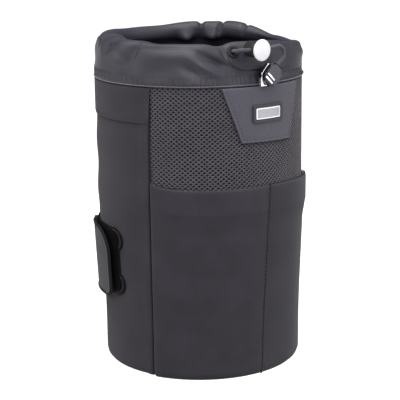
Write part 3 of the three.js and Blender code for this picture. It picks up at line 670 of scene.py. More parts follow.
def knit_pattern():
    """Diamonds on a staggered grid, wrapped on the wall: X of the flat net becomes a turn, Y a height."""
    knit = Pattern("knitted_mesh", ["Pitch", "Row", "Yarn", "Columns", "Rows", "Radius", "Low"])
    given = knit.given
    grid = knit.node("GeometryNodeMeshGrid", None, {
        "Size X": given["Pitch"] * (given["Columns"] - 1),
        "Size Y": given["Row"] * (given["Rows"] - 1),
        "Vertices X": given["Columns"],
        "Vertices Y": given["Rows"],
    })["Mesh"]
    whole_rows_below = 200.25  # even, and clear of rounding
    row = (knit.spot()["Y"] / given["Row"] + whole_rows_below).math("FLOOR")
    shift = knit.join(X=(row.math("MODULO", 2) - 0.5) * given["Pitch"] * 0.5)
    points = knit.node("GeometryNodeSetPosition", None, {"Geometry": grid, "Offset": shift})["Geometry"]
    square = knit.node("GeometryNodeCurvePrimitiveCircle", None, {"Resolution": 4, "Radius": 1.0})["Curve"]
    size = knit.join(X=given["Pitch"] * DIAMOND_WIDE, Y=given["Row"] * DIAMOND_HIGH, Z=1.0)
    ring = knit.node("GeometryNodeTransform", None, {"Geometry": square, "Scale": size})["Geometry"]
    strand = knit.node("GeometryNodeCurvePrimitiveCircle", None, {
        "Resolution": 5,
        "Radius": given["Yarn"] * 0.5,
    })["Curve"]
    yarn = knit.node("GeometryNodeCurveToMesh", None, {"Curve": ring, "Profile Curve": strand})["Mesh"]
    limits = {"Min": 1 - MESH_UNEVEN, "Max": 1 + MESH_UNEVEN, "Seed": 4}
    spread = knit.node("FunctionNodeRandomValue", {"data_type": "FLOAT"}, limits)
    copies = knit.node("GeometryNodeInstanceOnPoints", None, {
        "Points": points,
        "Instance": yarn,
        "Scale": spread["Value"],
    })["Instances"]
    real = knit.node("GeometryNodeRealizeInstances", None, {"Geometry": copies})["Geometry"]
    flat = knit.spot()
    height = given["Low"] + flat["Y"] + given["Row"] * given["Rows"] * 0.5
    radius = given["Radius"] + flat["Z"]
    turn = flat["X"] / given["Radius"]
    wrapped = knit.join(X=radius * turn.sine(), Y=radius * turn.cosine() * -1, Z=height)
    sockets = {"Geometry": real, "Position": wrapped}
    knit.close(knit.node("GeometryNodeSetPosition", None, sockets)["Geometry"])
    return knit


def backing_place(across, up):
    turn = (across - front_width / 2) / BASE_RADIUS
    return on_wall(turn, up, -SHELL_CLOTH + BACKING_CLOTH)


def yarn_finish():
    """Thick textured polyester yarn: fuzzy, dull, with lighter filaments."""
    finish = Finish("mesh_yarn", {"Specular IOR Level": 0.18, "Sheen Weight": 0.12, "Sheen Roughness": 0.4})
    filament = finish.noise(2600, 3.0)
    cloud = finish.noise(60, 2.0)
    tone = 0.5 + 1.1 * (filament - 0.5) + 0.4 * (cloud - 0.5)
    finish.tint((76, 72, 78), 0.6, 1.4, tone)
    finish.set("Roughness", 0.75 + 0.2 * (filament - 0.5))
    finish.relief(filament, 0.12 * MM)
    return finish


backing_cloth = cloth_finish(
    "mesh_backing", (50, 47, 52), plain_weave,
    pitch=0.5 * MM, depth=0.04 * MM, roughness=0.9, gloss=0.1, sheen=0.0,
)
backing = sheet_piece(
    "mesh_backing", front_width, wall_length, BACKING_CLOTH, 2.5 * MM, backing_place, backing_cloth,
)
sew_on(backing, "pouch", "mesh", "front_mesh_panel")
mesh_columns = round(2 * FRONT_HALF * SEAM_RADIUS / MESH_PITCH) - 1
mesh_rows = round((WALL_TOP - MESH_LOW) / MESH_ROW)
net = knit_pattern().run("front_mesh", bpy.data.meshes.new("front_mesh_start"), yarn_finish(), {
    "Pitch": MESH_PITCH,
    "Row": MESH_ROW,
    "Yarn": MESH_YARN,
    "Columns": mesh_columns,
    "Rows": mesh_rows,
    "Radius": SEAM_RADIUS - MESH_YARN / 2,
    "Low": MESH_LOW,
})
sew_on(net, "pouch", "mesh", "front_mesh_panel")

# Front pocket: one piece of smooth stretch cloth over the lower front, sewn in at both side seams and the
# base and stitched down its middle. Its top is folded over into a deep hem that stands off the mesh.
POCKET_HEIGHT = 118.6 * MM
POCKET_RISE_AT_SEAM = 3.3 * MM
POCKET_DIP = 5 * MM
POCKET_CLOTH = 1.0 * MM
POCKET_HEM = 16 * MM
POCKET_STAND = 1.6 * MM
POCKET_INSET = 0.45 * MM
STAND_AT_MIDDLE = 0.6
FULL_STAND_TURN = math.radians(40)
HEM_EXTRA = 0.25 * MM
HEM_STEP = 0.5 * MM
STITCHED_VALLEY = math.radians(3.5)
VALLEY_HOLD = 0.85
MIDDLE_SEAM_TOP = math.radians(1.4)
MIDDLE_SEAM_LEAN = math.radians(3.4)
MIDDLE_SEAM_FOOT = 0.02
MIDDLE_SEAM_RAISE = 0.3 * MM
LIP_SWEEP = 0.97
LIP_SHARE = 1.003
LIP_SUNK = 0.7 * MM
THREAD = 0.42 * MM
pocket_length = curl_length + POCKET_HEIGHT - BASE_EDGE
pocket_width = front_width - 2 * POCKET_INSET


def pocket_spot(turn, share):
    """Length from the base, lift of the outer face and share of hem, at a share of the pocket's height."""
    across = turn / FRONT_HALF
    rise = POCKET_RISE_AT_SEAM * np.maximum(0, -across) ** 8
    top = POCKET_HEIGHT + rise - POCKET_DIP * np.maximum(0, across) ** 2
    along = share * (curl_length + top - BASE_EDGE)
    height = along - curl_length + BASE_EDGE
    valley = 1 - VALLEY_HOLD * np.exp(-((turn / STITCHED_VALLEY) ** 2))
    held = (1 - np.clip(np.abs(across), 0, 1) ** 6) * valley
    slack = eased(top - 1.8 * POCKET_HEM, top - 0.9 * POCKET_HEM, height)
    hem = eased(top - POCKET_HEM - HEM_STEP, top - POCKET_HEM + HEM_STEP, height)
    fuller = STAND_AT_MIDDLE + (1 - STAND_AT_MIDDLE) * eased(0, FULL_STAND_TURN, turn)
    stand = POCKET_STAND * held * slack * fuller + HEM_EXTRA * hem
    return along, SEWN_GAP + POCKET_CLOTH + stand, hem


def pocket_face(turn, share, raised=0):
    """The pocket's outer face at a turn and a share of its height."""
    along, lift, _ = pocket_spot(turn, share)
    return on_wall(turn, along, lift + raised)


def pocket_place(across, up):
    return pocket_face((across - pocket_width / 2) / BASE_RADIUS, up / pocket_length)


def pocket_depth(across, up):
    """One layer of cloth, and a full fold down to the mesh in the hem."""
    _, lift, hem = pocket_spot((across - pocket_width / 2) / BASE_RADIUS, up / pocket_length)
    return POCKET_CLOTH + (lift - SEWN_GAP - POCKET_CLOTH) * hem


def knit_wales(u, v):
    return 0.7 * (u * TURN).sine() + 0.3 * (v * TURN * 0.7).sine()


def stitch_pattern():
    """Short thread beads along every edge chain of the starting mesh."""
    seam = Pattern("stitches", ["Pitch", "Length", "Thread"])
    given = seam.given
    chains = seam.node("GeometryNodeMeshToCurve", None, {"Mesh": given["Geometry"]})["Curve"]
    sockets = {"Curve": chains, "Length": given["Pitch"]}
    spots = seam.node("GeometryNodeCurveToPoints", {"mode": "LENGTH"}, sockets)
    bead = seam.node("GeometryNodeMeshUVSphere", None, {"Segments": 6, "Rings": 4, "Radius": 0.5})["Mesh"]
    size = seam.join(X=given["Thread"], Y=given["Thread"], Z=given["Length"])
    thread = seam.node("GeometryNodeTransform", None, {"Geometry": bead, "Scale": size})["Geometry"]
    seam.close(seam.node("GeometryNodeInstanceOnPoints", None, {
        "Points": spots["Points"],
        "Instance": thread,
        "Rotation": spots["Rotation"],
    })["Instances"])
    return seam


def thread_finish(name, colour):
    """Bonded polyester thread: twisted filaments with a slight shine."""
    finish = Finish(name, {"Specular IOR Level": 0.3})
    twist = finish.noise(4200, 2.0)
    finish.tint(colour, 0.6, 1.4, twist)
    finish.set("Roughness", 0.5 + 0.3 * (twist - 0.5))
    finish.relief(twist, 0.05 * MM)
    return finish


stitches = stitch_pattern()
dark_thread = thread_finish("dark_thread", (16, 15, 18))
grey_thread = thread_finish("grey_thread", (78, 76, 84))


def stitch_rows(name, rows, pitch, body, finish, length=0.62, thread=THREAD):
    """Rows of stitches, each along a list of points, as one piece on a body."""
    start = bpy.data.meshes.new(name + "_rows")
    points = np.concatenate(rows)
    firsts = np.cumsum([0] + [len(row) for row in rows])
    edges = [(i, i + 1) for a, b in zip(firsts, firsts[1:]) for i in range(a, b - 1)]
    start.from_pydata(points.tolist(), edges, [])
    sizes = {"Pitch": pitch, "Length": length * pitch, "Thread": thread}
    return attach(stitches.run(name, start, finish, sizes), body)


stretch = cloth_finish(
    "stretch_cloth", (52, 50, 56), knit_wales,
    pitch=0.5 * MM, depth=0.03 * MM, roughness=0.9, gloss=0.1, sheen=0.1, contrast=0.15,
)
pocket = sheet_piece(
    "pocket_cloth", pocket_width, pocket_length, POCKET_CLOTH, 1.6 * MM, pocket_place, stretch,
    edge=SEAM_ROUND, thick=pocket_depth,
)
sew_on(pocket, "pouch", "stretch", "front_pocket", "pocket_hem")
down = np.linspace(1, MIDDLE_SEAM_FOOT, 120)
drift = MIDDLE_SEAM_TOP - MIDDLE_SEAM_LEAN * (1 - down)
seam_line = pocket_face(drift, down, MIDDLE_SEAM_RAISE)
stitch_rows("pocket_stitches", [seam_line], 2.5 * MM, "pouch", dark_thread, length=0.72, thread=1.2 * MM)
# Dark thread beads in a row just above the pocket's lip, set back behind its face: a painted shadow line
# under the lip.
lip_turns = np.linspace(-LIP_SWEEP, LIP_SWEEP, 160) * FRONT_HALF
lip_line = pocket_face(lip_turns, LIP_SHARE, -LIP_SUNK)
stitch_rows("pocket_lip_painted_shadow", [lip_line], 3.2 * MM, "pouch", dark_thread, thread=0.8 * MM)

# Side facings: a strip of softshell under the collar on each side, caught in the seams round it. Its lower
# edge is turned up and stitched.
FACING_LOW = 156.5 * MM
FACING_CLOTH = 0.6 * MM
FACING_STITCH = 2.2 * MM
FACING_MARGIN = 2 * MM
FACING_GAP = 0.1 * MM
facing_height = WALL_TOP - FACING_LOW
for side, middle in side_middles.items():

    def facing_place(across, up, middle=middle):
        height = FACING_LOW + up
        turn = seam_turn(middle + (across - side_width / 2) / BASE_RADIUS, height)
        return around(shell(turn, height) + FACING_GAP + FACING_CLOTH, turn, height)

    facing = sheet_piece(
        f"{side}_facing", side_width, facing_height, FACING_CLOTH, 2 * MM, facing_place, softshell,
    )
    sew_on(facing, "pouch", "nylon", f"{side}_side_facing")
    hem_across = np.linspace(FACING_MARGIN, side_width - FACING_MARGIN, 60)
    hem_row = facing_place(hem_across, np.full_like(hem_across, FACING_STITCH))
    stitch_rows(f"{side}_facing_stitches", [hem_row], 2.6 * MM, "pouch", dark_thread)

# Front patch: thick grained leather cut as a trapezoid, which hangs from the collar seam in the middle of
# the front. The stitching round its sides and foot presses a shallow groove.
PATCH_LOW = 145 * MM
PATCH_TOP_HALF = math.radians(26.3)
PATCH_LOW_HALF = math.radians(16.6)
PATCH_LEATHER = 1.2 * MM
PATCH_STITCH = 2.1 * MM
PATCH_SKEW = math.radians(1.2)
PATCH_SAG = 0.9 * MM
PATCH_PRESS = 0.22 * MM
PATCH_PRESS_WIDTH = 0.7 * MM
patch_width = 2 * PATCH_TOP_HALF * SEAM_RADIUS
patch_height = WALL_TOP - PATCH_LOW


def patch_face(across, up):
    """The patch's face, pressed in along the stitching near its two sides and its lower edge."""
    half = PATCH_LOW_HALF + (PATCH_TOP_HALF - PATCH_LOW_HALF) * up / patch_height
    foot = 1 - up / patch_height
    turn = (2 * across / patch_width - 1) * half + PATCH_SKEW * (foot - 0.25)
    height = PATCH_LOW + up - PATCH_SAG * foot * across / patch_width
    edge = np.minimum(np.minimum(across, patch_width - across) * half / PATCH_TOP_HALF, up)
    pressed = PATCH_PRESS * np.exp(-(((edge - PATCH_STITCH) / PATCH_PRESS_WIDTH) ** 2))
    return around(shell(turn, height) + SEWN_GAP + PATCH_LEATHER - pressed, turn, height)


def grain_finish(name, colour, per_metre, depth, roughness, gloss):
    """Leather or moulded skin: a net of fine creases round small swollen cells."""
    finish = Finish(name, {"Specular IOR Level": gloss})
    sockets = {"Vector": finish.place(), "Scale": per_metre, "Randomness": 1.0}
    cells = finish.node("ShaderNodeTexVoronoi", {"feature": "DISTANCE_TO_EDGE"}, sockets)["Distance"]
    swell = (cells * 5).math("MINIMUM", 1)
    cloud = finish.noise(70, 3.0)
    worn = finish.node("ShaderNodeAttribute", {"attribute_name": "edge_wear"})["Fac"]
    tone = 0.25 + 0.4 * swell + 0.7 * (cloud - 0.5) + 0.3 * worn
    finish.tint(colour, 0.72, 1.25, tone)
    finish.set("Roughness", roughness + 0.15 * (cloud - 0.5) - 0.08 * swell)
    finish.relief(swell + 0.3 * cloud, depth)
    return finish


leather = grain_finish(
    "grained_leather", (67, 65, 75), per_metre=900, depth=0.05 * MM, roughness=0.6, gloss=0.35,
)
patch = sheet_piece("front_patch", patch_width, patch_height, PATCH_LEATHER, 1.2 * MM, patch_face, leather)
sew_on(patch, "pouch", "leather", "leather_patch")
inset_low = PATCH_STITCH * PATCH_TOP_HALF / PATCH_LOW_HALF
down_side = np.linspace(patch_height, PATCH_STITCH, 40)
beside = np.linspace(PATCH_STITCH, inset_low, 40)
left_row = patch_face(beside, down_side)
along_foot = np.linspace(inset_low, patch_width - inset_low, 40)
foot_row = patch_face(along_foot, np.full_like(along_foot, PATCH_STITCH))
right_row = patch_face(patch_width - beside[::-1], down_side[::-1])
patch_row = np.concatenate([left_row, foot_row[1:], right_row[1:]])
stitch_rows("patch_stitches", [patch_row], 2.3 * MM, "pouch", dark_thread)

# Label: a moulded rubber frame with a bare plate of satin metal set in its window. Both are bent to the
# wall and glued on the leather patch.
LABEL_WIDTH = 21.5 * MM
LABEL_HEIGHT = 10.6 * MM
LABEL_MIDDLE = 161.8 * MM
LABEL_BORDER = 1.7 * MM
LABEL_CORNER = 1.2 * MM
LABEL_FRAME = 1.0 * MM
FRAME_ROUND = 0.3 * MM
LABEL_PLATE = 0.7 * MM
PLATE_ROUND = 0.2 * MM
PLATE_RIM = 0.75 * MM
label_seat = 2 * SEWN_GAP + PATCH_LEATHER


def oblong(width, height, corner):
    """A rounded rectangle about the origin."""
    x, y = width / 2, height / 2
    return soft_outline([(-x, -y, corner), (x, -y, corner), (x, y, corner), (-x, y, corner)])


def cut_plate(name, outlines, thick, edge, bend, finish, slice_step=1.5 * MM):
    """A plate cut to flat outlines, its rims rounded, then bent: bend(x, y, lift) gives its points."""
    curve = bpy.data.curves.new(name, "CURVE")
    curve.dimensions = "2D"
    curve.fill_mode = "BOTH"
    curve.extrude = (thick / 2 - edge) / MM
    curve.bevel_depth = edge / MM
    curve.bevel_resolution = 2
    curve.offset = -edge / MM
    for outline in outlines:
        spline = curve.splines.new("POLY")
        spline.points.add(len(outline) - 1)
        spline.use_cyclic_u = True
        for point, (x, y) in zip(spline.points, outline):
            point.co = (x / MM, y / MM, 0, 1)
    holder = add_object(name + "_outline", curve)
    mesh = plain_mesh(holder)
    bpy.data.objects.remove(holder)
    build = bmesh.new()
    build.from_mesh(mesh)
    bmesh.ops.remove_doubles(build, verts=build.verts, dist=1e-3)
    flat = np.array([vert.co for vert in build.verts])
    for axis in (0, 1):
        for cut in np.arange(flat[:, axis].min(), flat[:, axis].max(), slice_step / MM)[1:]:
            place = np.eye(3)[axis]
            geometry = [*build.verts, *build.edges, *build.faces]
            bmesh.ops.bisect_plane(build, geom=geometry, plane_co=place * cut, plane_no=place, dist=1e-4)
    bmesh.ops.recalc_face_normals(build, faces=build.faces)
    build.to_mesh(mesh)
    build.free()
    flat = np.array([vert.co for vert in mesh.vertices]) * MM
    corners = np.array([loop.vertex_index for loop in mesh.loops])
    for layer in list(mesh.uv_layers):
        mesh.uv_layers.remove(layer)
    mesh.uv_layers.new(name="cloth").data.foreach_set("uv", flat[corners, :2].ravel())
    bent = bend(flat[:, 0], flat[:, 1], flat[:, 2] + thick / 2)
    mesh.vertices.foreach_set("co", bent.ravel())
    mesh.update()
    build = bmesh.new()
    build.from_mesh(mesh)
    bmesh.ops.recalc_face_normals(build, faces=build.faces)
    build.to_mesh(mesh)
    build.free()
    piece = add_piece(name, mesh, finish)
    mesh.set_sharp_from_angle(angle=math.radians(50))
    return piece


def on_label(x, y, lift):
    """Points of the label, which is bent to the wall under it."""
    turn = np.arcsin(x / SEAM_RADIUS)
    height = LABEL_MIDDLE + y
    return around(shell(turn, height) + label_seat + lift, turn, height)


def satin_finish(width, height):
    """Brushed, lacquered metal: fine scratches along the plate and a polished rim."""
    finish = Finish("satin_plate", {"Metallic": 0.3})
    placed = finish.node("ShaderNodeUVMap", {"uv_map": "cloth"})["UV"]
    flat = finish.split(placed)
    beside = flat["X"].absolute() - (width / 2 - PLATE_RIM)
    above = flat["Y"].absolute() - (height / 2 - PLATE_RIM)
    polished = (beside.math("MAXIMUM", above) * 8000).math("MAXIMUM", 0).math("MINIMUM", 1)
    sockets = {"Vector": finish.place(), "Scale": (300, 300, 9000)}
    stretched = finish.node("ShaderNodeMapping", None, sockets)["Vector"]
    sockets = {"Vector": stretched, "Scale": 1.0, "Detail": 3.0}
    brushed = finish.node("ShaderNodeTexNoise", None, sockets)["Fac"]
    field = finish.blend(shade(134, 134, 140), shade(168, 168, 173), brushed)
    finish.set("Base Color", finish.blend(field, shade(232, 232, 236), polished))
    finish.set("Roughness", 0.4 + 0.2 * (brushed - 0.5))
    finish.relief(brushed, 0.02 * MM)
    return finish


rubber = grain_finish(
    "moulded_rubber", (52, 51, 57), per_metre=2600, depth=0.02 * MM, roughness=0.6, gloss=0.3,
)
window_width = LABEL_WIDTH - 2 * LABEL_BORDER
window_height = LABEL_HEIGHT - 2 * LABEL_BORDER
frame_outline = oblong(LABEL_WIDTH, LABEL_HEIGHT, LABEL_CORNER)
window_outline = oblong(window_width, window_height, LABEL_CORNER / 2)
plate_width = window_width - 2 * SEWN_GAP
plate_height = window_height - 2 * SEWN_GAP
plate_outline = oblong(plate_width, plate_height, LABEL_CORNER / 2)
frame_outlines = [frame_outline, window_outline]
label_frame = cut_plate("label_surround", frame_outlines, LABEL_FRAME, FRAME_ROUND, on_label, rubber)
sew_on(label_frame, "pouch", "rubber", "label_frame")
satin = satin_finish(plate_width, plate_height)
label_plate = cut_plate("label_blank", [plate_outline], LABEL_PLATE, PLATE_ROUND, on_label, satin)
sew_on(label_plate, "pouch", "satin", "label_plate")

# Side tabs: on each side a two-lobed patch of softshell is sewn to the wall with a black loop pad on it.
# A bound flap with a hook pad under it is held by a webbing anchor at its rear edge and presses onto them.
TAB_MIDDLE = math.radians(110)
TAB_LOW = 46 * MM
TAB_HIGH = 90 * MM
TAB_FRONT = 18 * MM
TAB_REAR = 16.4 * MM
TAB_CORNER = 16 * MM
TAB_LOW_CORNER = 6 * MM
TAB_CLOTH = 1.2 * MM
TAB_FLARE = 2 * MM
BINDING_WIDTH = 1.4 * MM
BINDING_CLOTH = 2 * MM
TAB_PATCH_CLOTH = 1.0 * MM
LOBE_REACH = 26.0 * MM
LOBE_HEIGHT = 15 * MM
NOTCH_DEPTH = 3.8 * MM
NOTCH_INSET = 0.85
LOBE_POINTS = 12
GRIP_CLOTH = 0.45 * MM
GRIP_MARGIN = 5 * MM
GRIP_EDGE = 2.6 * MM
GRIP_ROUND = 0.2 * MM
TAB_PATCH_ROUND = 0.45 * MM
FLAP_ROUND = 0.5 * MM
BINDING_ROUND = 0.9 * MM
ANCHOR_ROUND = 0.6 * MM
ANCHOR_WIDTH = 5 * MM
TAB_GAP = 0.18 * MM
FLAP_DROP = 1.2 * MM
FLAP_REACH = 19.8 * MM
LOBE_LIFT = 1.5 * MM
LOBE_STITCH = 1.3 * MM
TAB_PITCH = 1.6 * MM
HIGHLIGHT_LINE_WIDTH = 0.5 * MM
loop_seat = 2 * TAB_GAP + TAB_PATCH_CLOTH
hook_seat = loop_seat + GRIP_CLOTH + TAB_GAP
flap_seat = hook_seat + GRIP_CLOTH + TAB_GAP
binding_seat = flap_seat - (BINDING_CLOTH - TAB_CLOTH) / 2


def on_side(middle, forward, seat, flare=0.0):
    """Bends a layer of a tab round the wall: x runs forward from the tab's middle and y is the height.
    A flared layer stands off more and more towards its front edge."""
    rear = middle - forward * math.asin(TAB_REAR / SEAM_RADIUS)
    spread = math.asin(TAB_REAR / SEAM_RADIUS) + math.asin(TAB_FRONT / SEAM_RADIUS)
    shift = forward * flare / math.sin(spread)
    aside = shift * math.cos(middle - rear)
    out = shift * math.sin(middle - rear)

    def bend(x, y, lift):
        x = forward * x
        radius = shell(middle + np.arcsin(x / SEAM_RADIUS), y) + seat + lift
        reach = out + np.sqrt(radius ** 2 - (x - aside) ** 2)
        return np.stack([
            x * math.cos(middle) + reach * math.sin(middle),
            x * math.sin(middle) - reach * math.cos(middle),
            y,
        ], -1)

    return bend


def round_part(x, y, radius, start, end):
    angles = np.linspace(start, end, LOBE_POINTS)
    return np.stack([x + radius * np.cos(angles), y + radius * np.sin(angles)], -1)


def lobed_outline(rear, inset):
    """A straight rear edge and two round lobes ahead with a notch between them."""
    lobe = LOBE_HEIGHT / 2
    ahead = LOBE_REACH - lobe
    radius = lobe - inset
    notch = math.acos(1 - (NOTCH_DEPTH - NOTCH_INSET * inset) / radius)
    return np.concatenate([
        [(-rear, TAB_LOW + LOBE_LIFT + inset)],
        round_part(ahead, TAB_LOW + LOBE_LIFT + lobe, radius, -math.pi / 2, notch),
        round_part(ahead, TAB_HIGH - lobe, radius, -notch, math.pi / 2),
        [(-rear, TAB_HIGH - inset)],
    ])


def flap_outline(rear, inset):
    """A straight rear edge, a small lower corner and a large upper one ahead."""
    front = FLAP_REACH - inset
    low_corner = max(1 * MM, TAB_LOW_CORNER - inset)
    return soft_outline([
        (-rear, TAB_LOW + inset, 0),
        (front, TAB_LOW + inset, low_corner),
        (front, TAB_HIGH - FLAP_DROP - inset, TAB_CORNER - inset),
        (-rear, TAB_HIGH - FLAP_DROP - inset, 0),
    ], arc_points=12)


def sew_cut(piece, body, slot, node):
    sew_on(piece, body, slot, node)


def pile_finish(name, colour, per_metre, depth):
    """A brushed pile of fine loops or hooks that takes nearly all the light."""
    finish = Finish(name, {"Specular IOR Level": 0.05})
    tuft = finish.noise(per_metre, 4.0)
    cloud = finish.noise(140, 2.0)
    finish.tint(colour, 0.3, 1.7, tuft + 0.5 * (cloud - 0.5))
    finish.set("Roughness", 0.9 + 0.15 * (tuft - 0.5))
    finish.relief(tuft, depth)
    return finish


def webbing_ribs(u, v):
    return 0.65 * (u * TURN).sine() + 0.35 * (v * TURN * 1.6).sine() * (u * math.pi).cosine()


# The base patch's softshell is coloured near black: painted shade cast by the flap that stands off over it.
painted_shade_patch_cloth = cloth_finish(
    "tab_patch_cloth", (11, 10, 12), plain_weave,
    pitch=0.55 * MM, depth=0.05 * MM, roughness=0.85, gloss=0.1, sheen=0.0,
)
tab_cloth = cloth_finish(
    "tab_cloth", (57, 55, 59), plain_weave,
    pitch=0.55 * MM, depth=0.05 * MM, roughness=0.8, gloss=0.15, sheen=0.08,
)
binding_tape = cloth_finish(
    "binding_tape", (22, 21, 24), webbing_ribs,
    pitch=0.8 * MM, depth=0.08 * MM, roughness=0.8, gloss=0.15, sheen=0.02,
)
webbing = cloth_finish(
    "webbing", (38, 37, 41), webbing_ribs,
    pitch=1.3 * MM, depth=0.14 * MM, roughness=0.8, gloss=0.15, sheen=0.04,
)
loop_pile = pile_finish("loop_pile", (6, 6, 7), per_metre=2200, depth=0.4 * MM)
hook_pile = pile_finish("hook_pile", (18, 18, 20), per_metre=3200, depth=0.3 * MM)
# Light grey thread laid as solid lines along edges: painted highlights where folded and bound edges catch
# light.
edge_thread = thread_finish("edge_thread", (112, 110, 118))
patch_outline = lobed_outline(TAB_REAR + ANCHOR_WIDTH + 1 * MM, 0)
loop_outline = lobed_outline(TAB_REAR - GRIP_MARGIN, GRIP_EDGE)
hook_outline = flap_outline(TAB_REAR - GRIP_MARGIN, GRIP_MARGIN)
face_outline = flap_outline(TAB_REAR, BINDING_WIDTH + SEWN_GAP)
binding_outline = np.concatenate([flap_outline(TAB_REAR, 0), flap_outline(TAB_REAR, BINDING_WIDTH)[::-1]])
anchor_middle = -(TAB_REAR + SEWN_GAP + ANCHOR_WIDTH / 2)
anchor_high = TAB_HIGH - FLAP_DROP
anchor_shape = oblong(ANCHOR_WIDTH, anchor_high - TAB_LOW, 1 * MM)
anchor_outline = anchor_shape + np.array([anchor_middle, (TAB_LOW + anchor_high) / 2])
for side, forward in (("left", 1), ("right", -1)):
    middle = -forward * TAB_MIDDLE
    body = f"{side}_tab"
    on_patch = on_side(middle, forward, TAB_GAP)
    on_flap = on_side(middle, forward, flap_seat, TAB_FLARE)
    on_binding = on_side(middle, forward, binding_seat, TAB_FLARE)
    base = cut_plate(
        f"{side}_base_patch", [patch_outline], TAB_PATCH_CLOTH, TAB_PATCH_ROUND, on_patch, painted_shade_patch_cloth,
    )
    sew_cut(base, "pouch", "nylon", f"{side}_tab_patch")
    on_loop = on_side(middle, forward, loop_seat)
    pile = cut_plate(f"{side}_loop_pile", [loop_outline], GRIP_CLOTH, GRIP_ROUND, on_loop, loop_pile)
    sew_cut(pile, "pouch", "grip", f"{side}_tab_loop_pad")
    on_hook = on_side(middle, forward, hook_seat, TAB_FLARE)
    hooks = cut_plate(f"{side}_hook_pile", [hook_outline], GRIP_CLOTH, GRIP_ROUND, on_hook, hook_pile)
    sew_cut(hooks, body, "grip", f"{side}_tab_hook_pad")
    face = cut_plate(f"{side}_flap_cloth", [face_outline], TAB_CLOTH, FLAP_ROUND, on_flap, tab_cloth)
    sew_cut(face, body, "nylon", f"{side}_tab_flap")
    tape = cut_plate(
        f"{side}_flap_tape", [binding_outline], BINDING_CLOTH, BINDING_ROUND, on_binding, binding_tape,
    )
    sew_on(tape, body, "binding", f"{side}_tab_binding")
    on_anchor = on_side(middle, forward, loop_seat)
    anchor_thick = flap_seat + TAB_CLOTH - loop_seat
    anchor = cut_plate(f"{side}_anchor", [anchor_outline], anchor_thick, ANCHOR_ROUND, on_anchor, webbing)
    sew_on(anchor, "pouch", "webbing", f"{side}_tab_anchor")
    lobes = lobed_outline(TAB_REAR + ANCHOR_WIDTH, LOBE_STITCH)
    lobe_row = on_patch(lobes[:, 0], lobes[:, 1], TAB_PATCH_CLOTH)
    lobe_rows = [lobe_row[1:LOBE_POINTS], lobe_row[LOBE_POINTS + 2:-1]]
    stitch_rows(f"{side}_patch_stitches", lobe_rows, TAB_PITCH, "pouch", grey_thread, length=0.6)
    # A solid light line round the flap face, inside the binding: a painted highlight along the bound edge.
    rim = flap_outline(TAB_REAR, BINDING_WIDTH + 0.5 * MM)
    flap_highlight_row = on_flap(rim[:, 0], rim[:, 1], TAB_CLOTH)
    stitch_rows(
        f"{side}_flap_highlight_line", [flap_highlight_row], TAB_PITCH, body, edge_thread, length=0.95, thread=HIGHLIGHT_LINE_WIDTH,
    )
    bar_heights = np.linspace(TAB_LOW + 2 * MM, anchor_high - 2 * MM, 30)
    bar = on_anchor(np.full_like(bar_heights, anchor_middle), bar_heights, anchor_thick)
    stitch_rows(f"{side}_anchor_stitches", [bar], TAB_PITCH, "pouch", dark_thread, length=0.7)

# Belt loop: a strap of ribbed webbing behind, straight over the belt's gap, bent in and sewn to the back
# panel at both ends with a crossed box of stitches.
LOOP_HALF_WIDTH = 23 * MM
LOOP_LOW = 54 * MM
LOOP_HIGH = 140 * MM
LOOP_FOOT = 10 * MM
LOOP_RAMP = 7 * MM
LOOP_FLAT = 70 * MM
LOOP_WEBBING = 1.8 * MM
LOOP_STITCH = 2 * MM
THREAD_RAISE = 0.05 * MM
loop_height = LOOP_HIGH - LOOP_LOW


def loop_place(across, up, raised=0):
    """The strap's outer face: flat over the belt's gap, and down on the wall at both ends."""
    x = LOOP_HALF_WIDTH - across
    height = LOOP_LOW + up
    from_end = np.minimum(up, loop_height - up)
    away = eased(LOOP_FOOT, LOOP_FOOT + LOOP_RAMP, from_end)
    sewn = np.sqrt((shell(math.pi, height) + SEWN_GAP + LOOP_WEBBING) ** 2 - x ** 2)
    y = sewn + (LOOP_FLAT + LOOP_WEBBING - sewn) * away + raised
    return np.stack([x, y, height], -1)


loop_width = 2 * LOOP_HALF_WIDTH
strap = sheet_piece("belt_strap", loop_width, loop_height, LOOP_WEBBING, 1.2 * MM, loop_place, webbing)
sew_on(strap, "pouch", "webbing", "belt_loop")
box_rows = []
for foot in (0, loop_height - LOOP_FOOT):
    low_row = foot + LOOP_STITCH
    high_row = foot + LOOP_FOOT - LOOP_STITCH
    box = [
        (LOOP_STITCH, low_row),
        (loop_width - LOOP_STITCH, low_row),
        (loop_width - LOOP_STITCH, high_row),
        (LOOP_STITCH, high_row),
    ]
    for start, end in ((0, 1), (1, 2), (2, 3), (3, 0), (0, 2), (1, 3)):
        across, up = np.linspace(box[start], box[end], 24).T
        box_rows.append(loop_place(across, up, THREAD_RAISE))
stitch_rows("belt_strap_stitches", box_rows, 2.4 * MM, "pouch", grey_thread)

# Drawstring collar: one strip of satin nylon twill sewn on the rim, drawn in so that it lies in soft folds.
# Its top rolls over into a cord channel and is stitched back to itself on the inside.
COLLAR_STRAIGHT = 22 * MM
COLLAR_ROLL = 3.2 * MM
COLLAR_CLOTH = 1.1 * MM
COLLAR_PROUD = 0.9 * MM
COLLAR_TAPER = 3.2 * MM
COLLAR_STITCH = 10.5 * MM
COLLAR_HEIGHT = COLLAR_STRAIGHT + COLLAR_ROLL
FRONT_LEAN = 6 * MM
LEAN_TURN = math.radians(-8)
DROOP = 6.2 * MM
DROOP_TURN = math.radians(65)
BACK_LIFT = 2.6 * MM
LIFT_TURN = math.radians(125)
PUCKERS = 128
PUCKER_DEPTH = 0.4
PUCKER_MIDDLE = 4.3 * MM
PUCKER_REACH = 2.6 * MM
FOLDS_START = (0.5 * MM, 3 * MM)
FOLDS_END = (38 * MM, 43 * MM)
INNER_SIDE = (36 * MM, 42 * MM)
SEAM_ROWS = (2.3 * MM, 6.3 * MM)
HIGHLIGHT_ROW = 1.0 * MM
SEAT_POINTS = 12
BEND_POINTS = 24
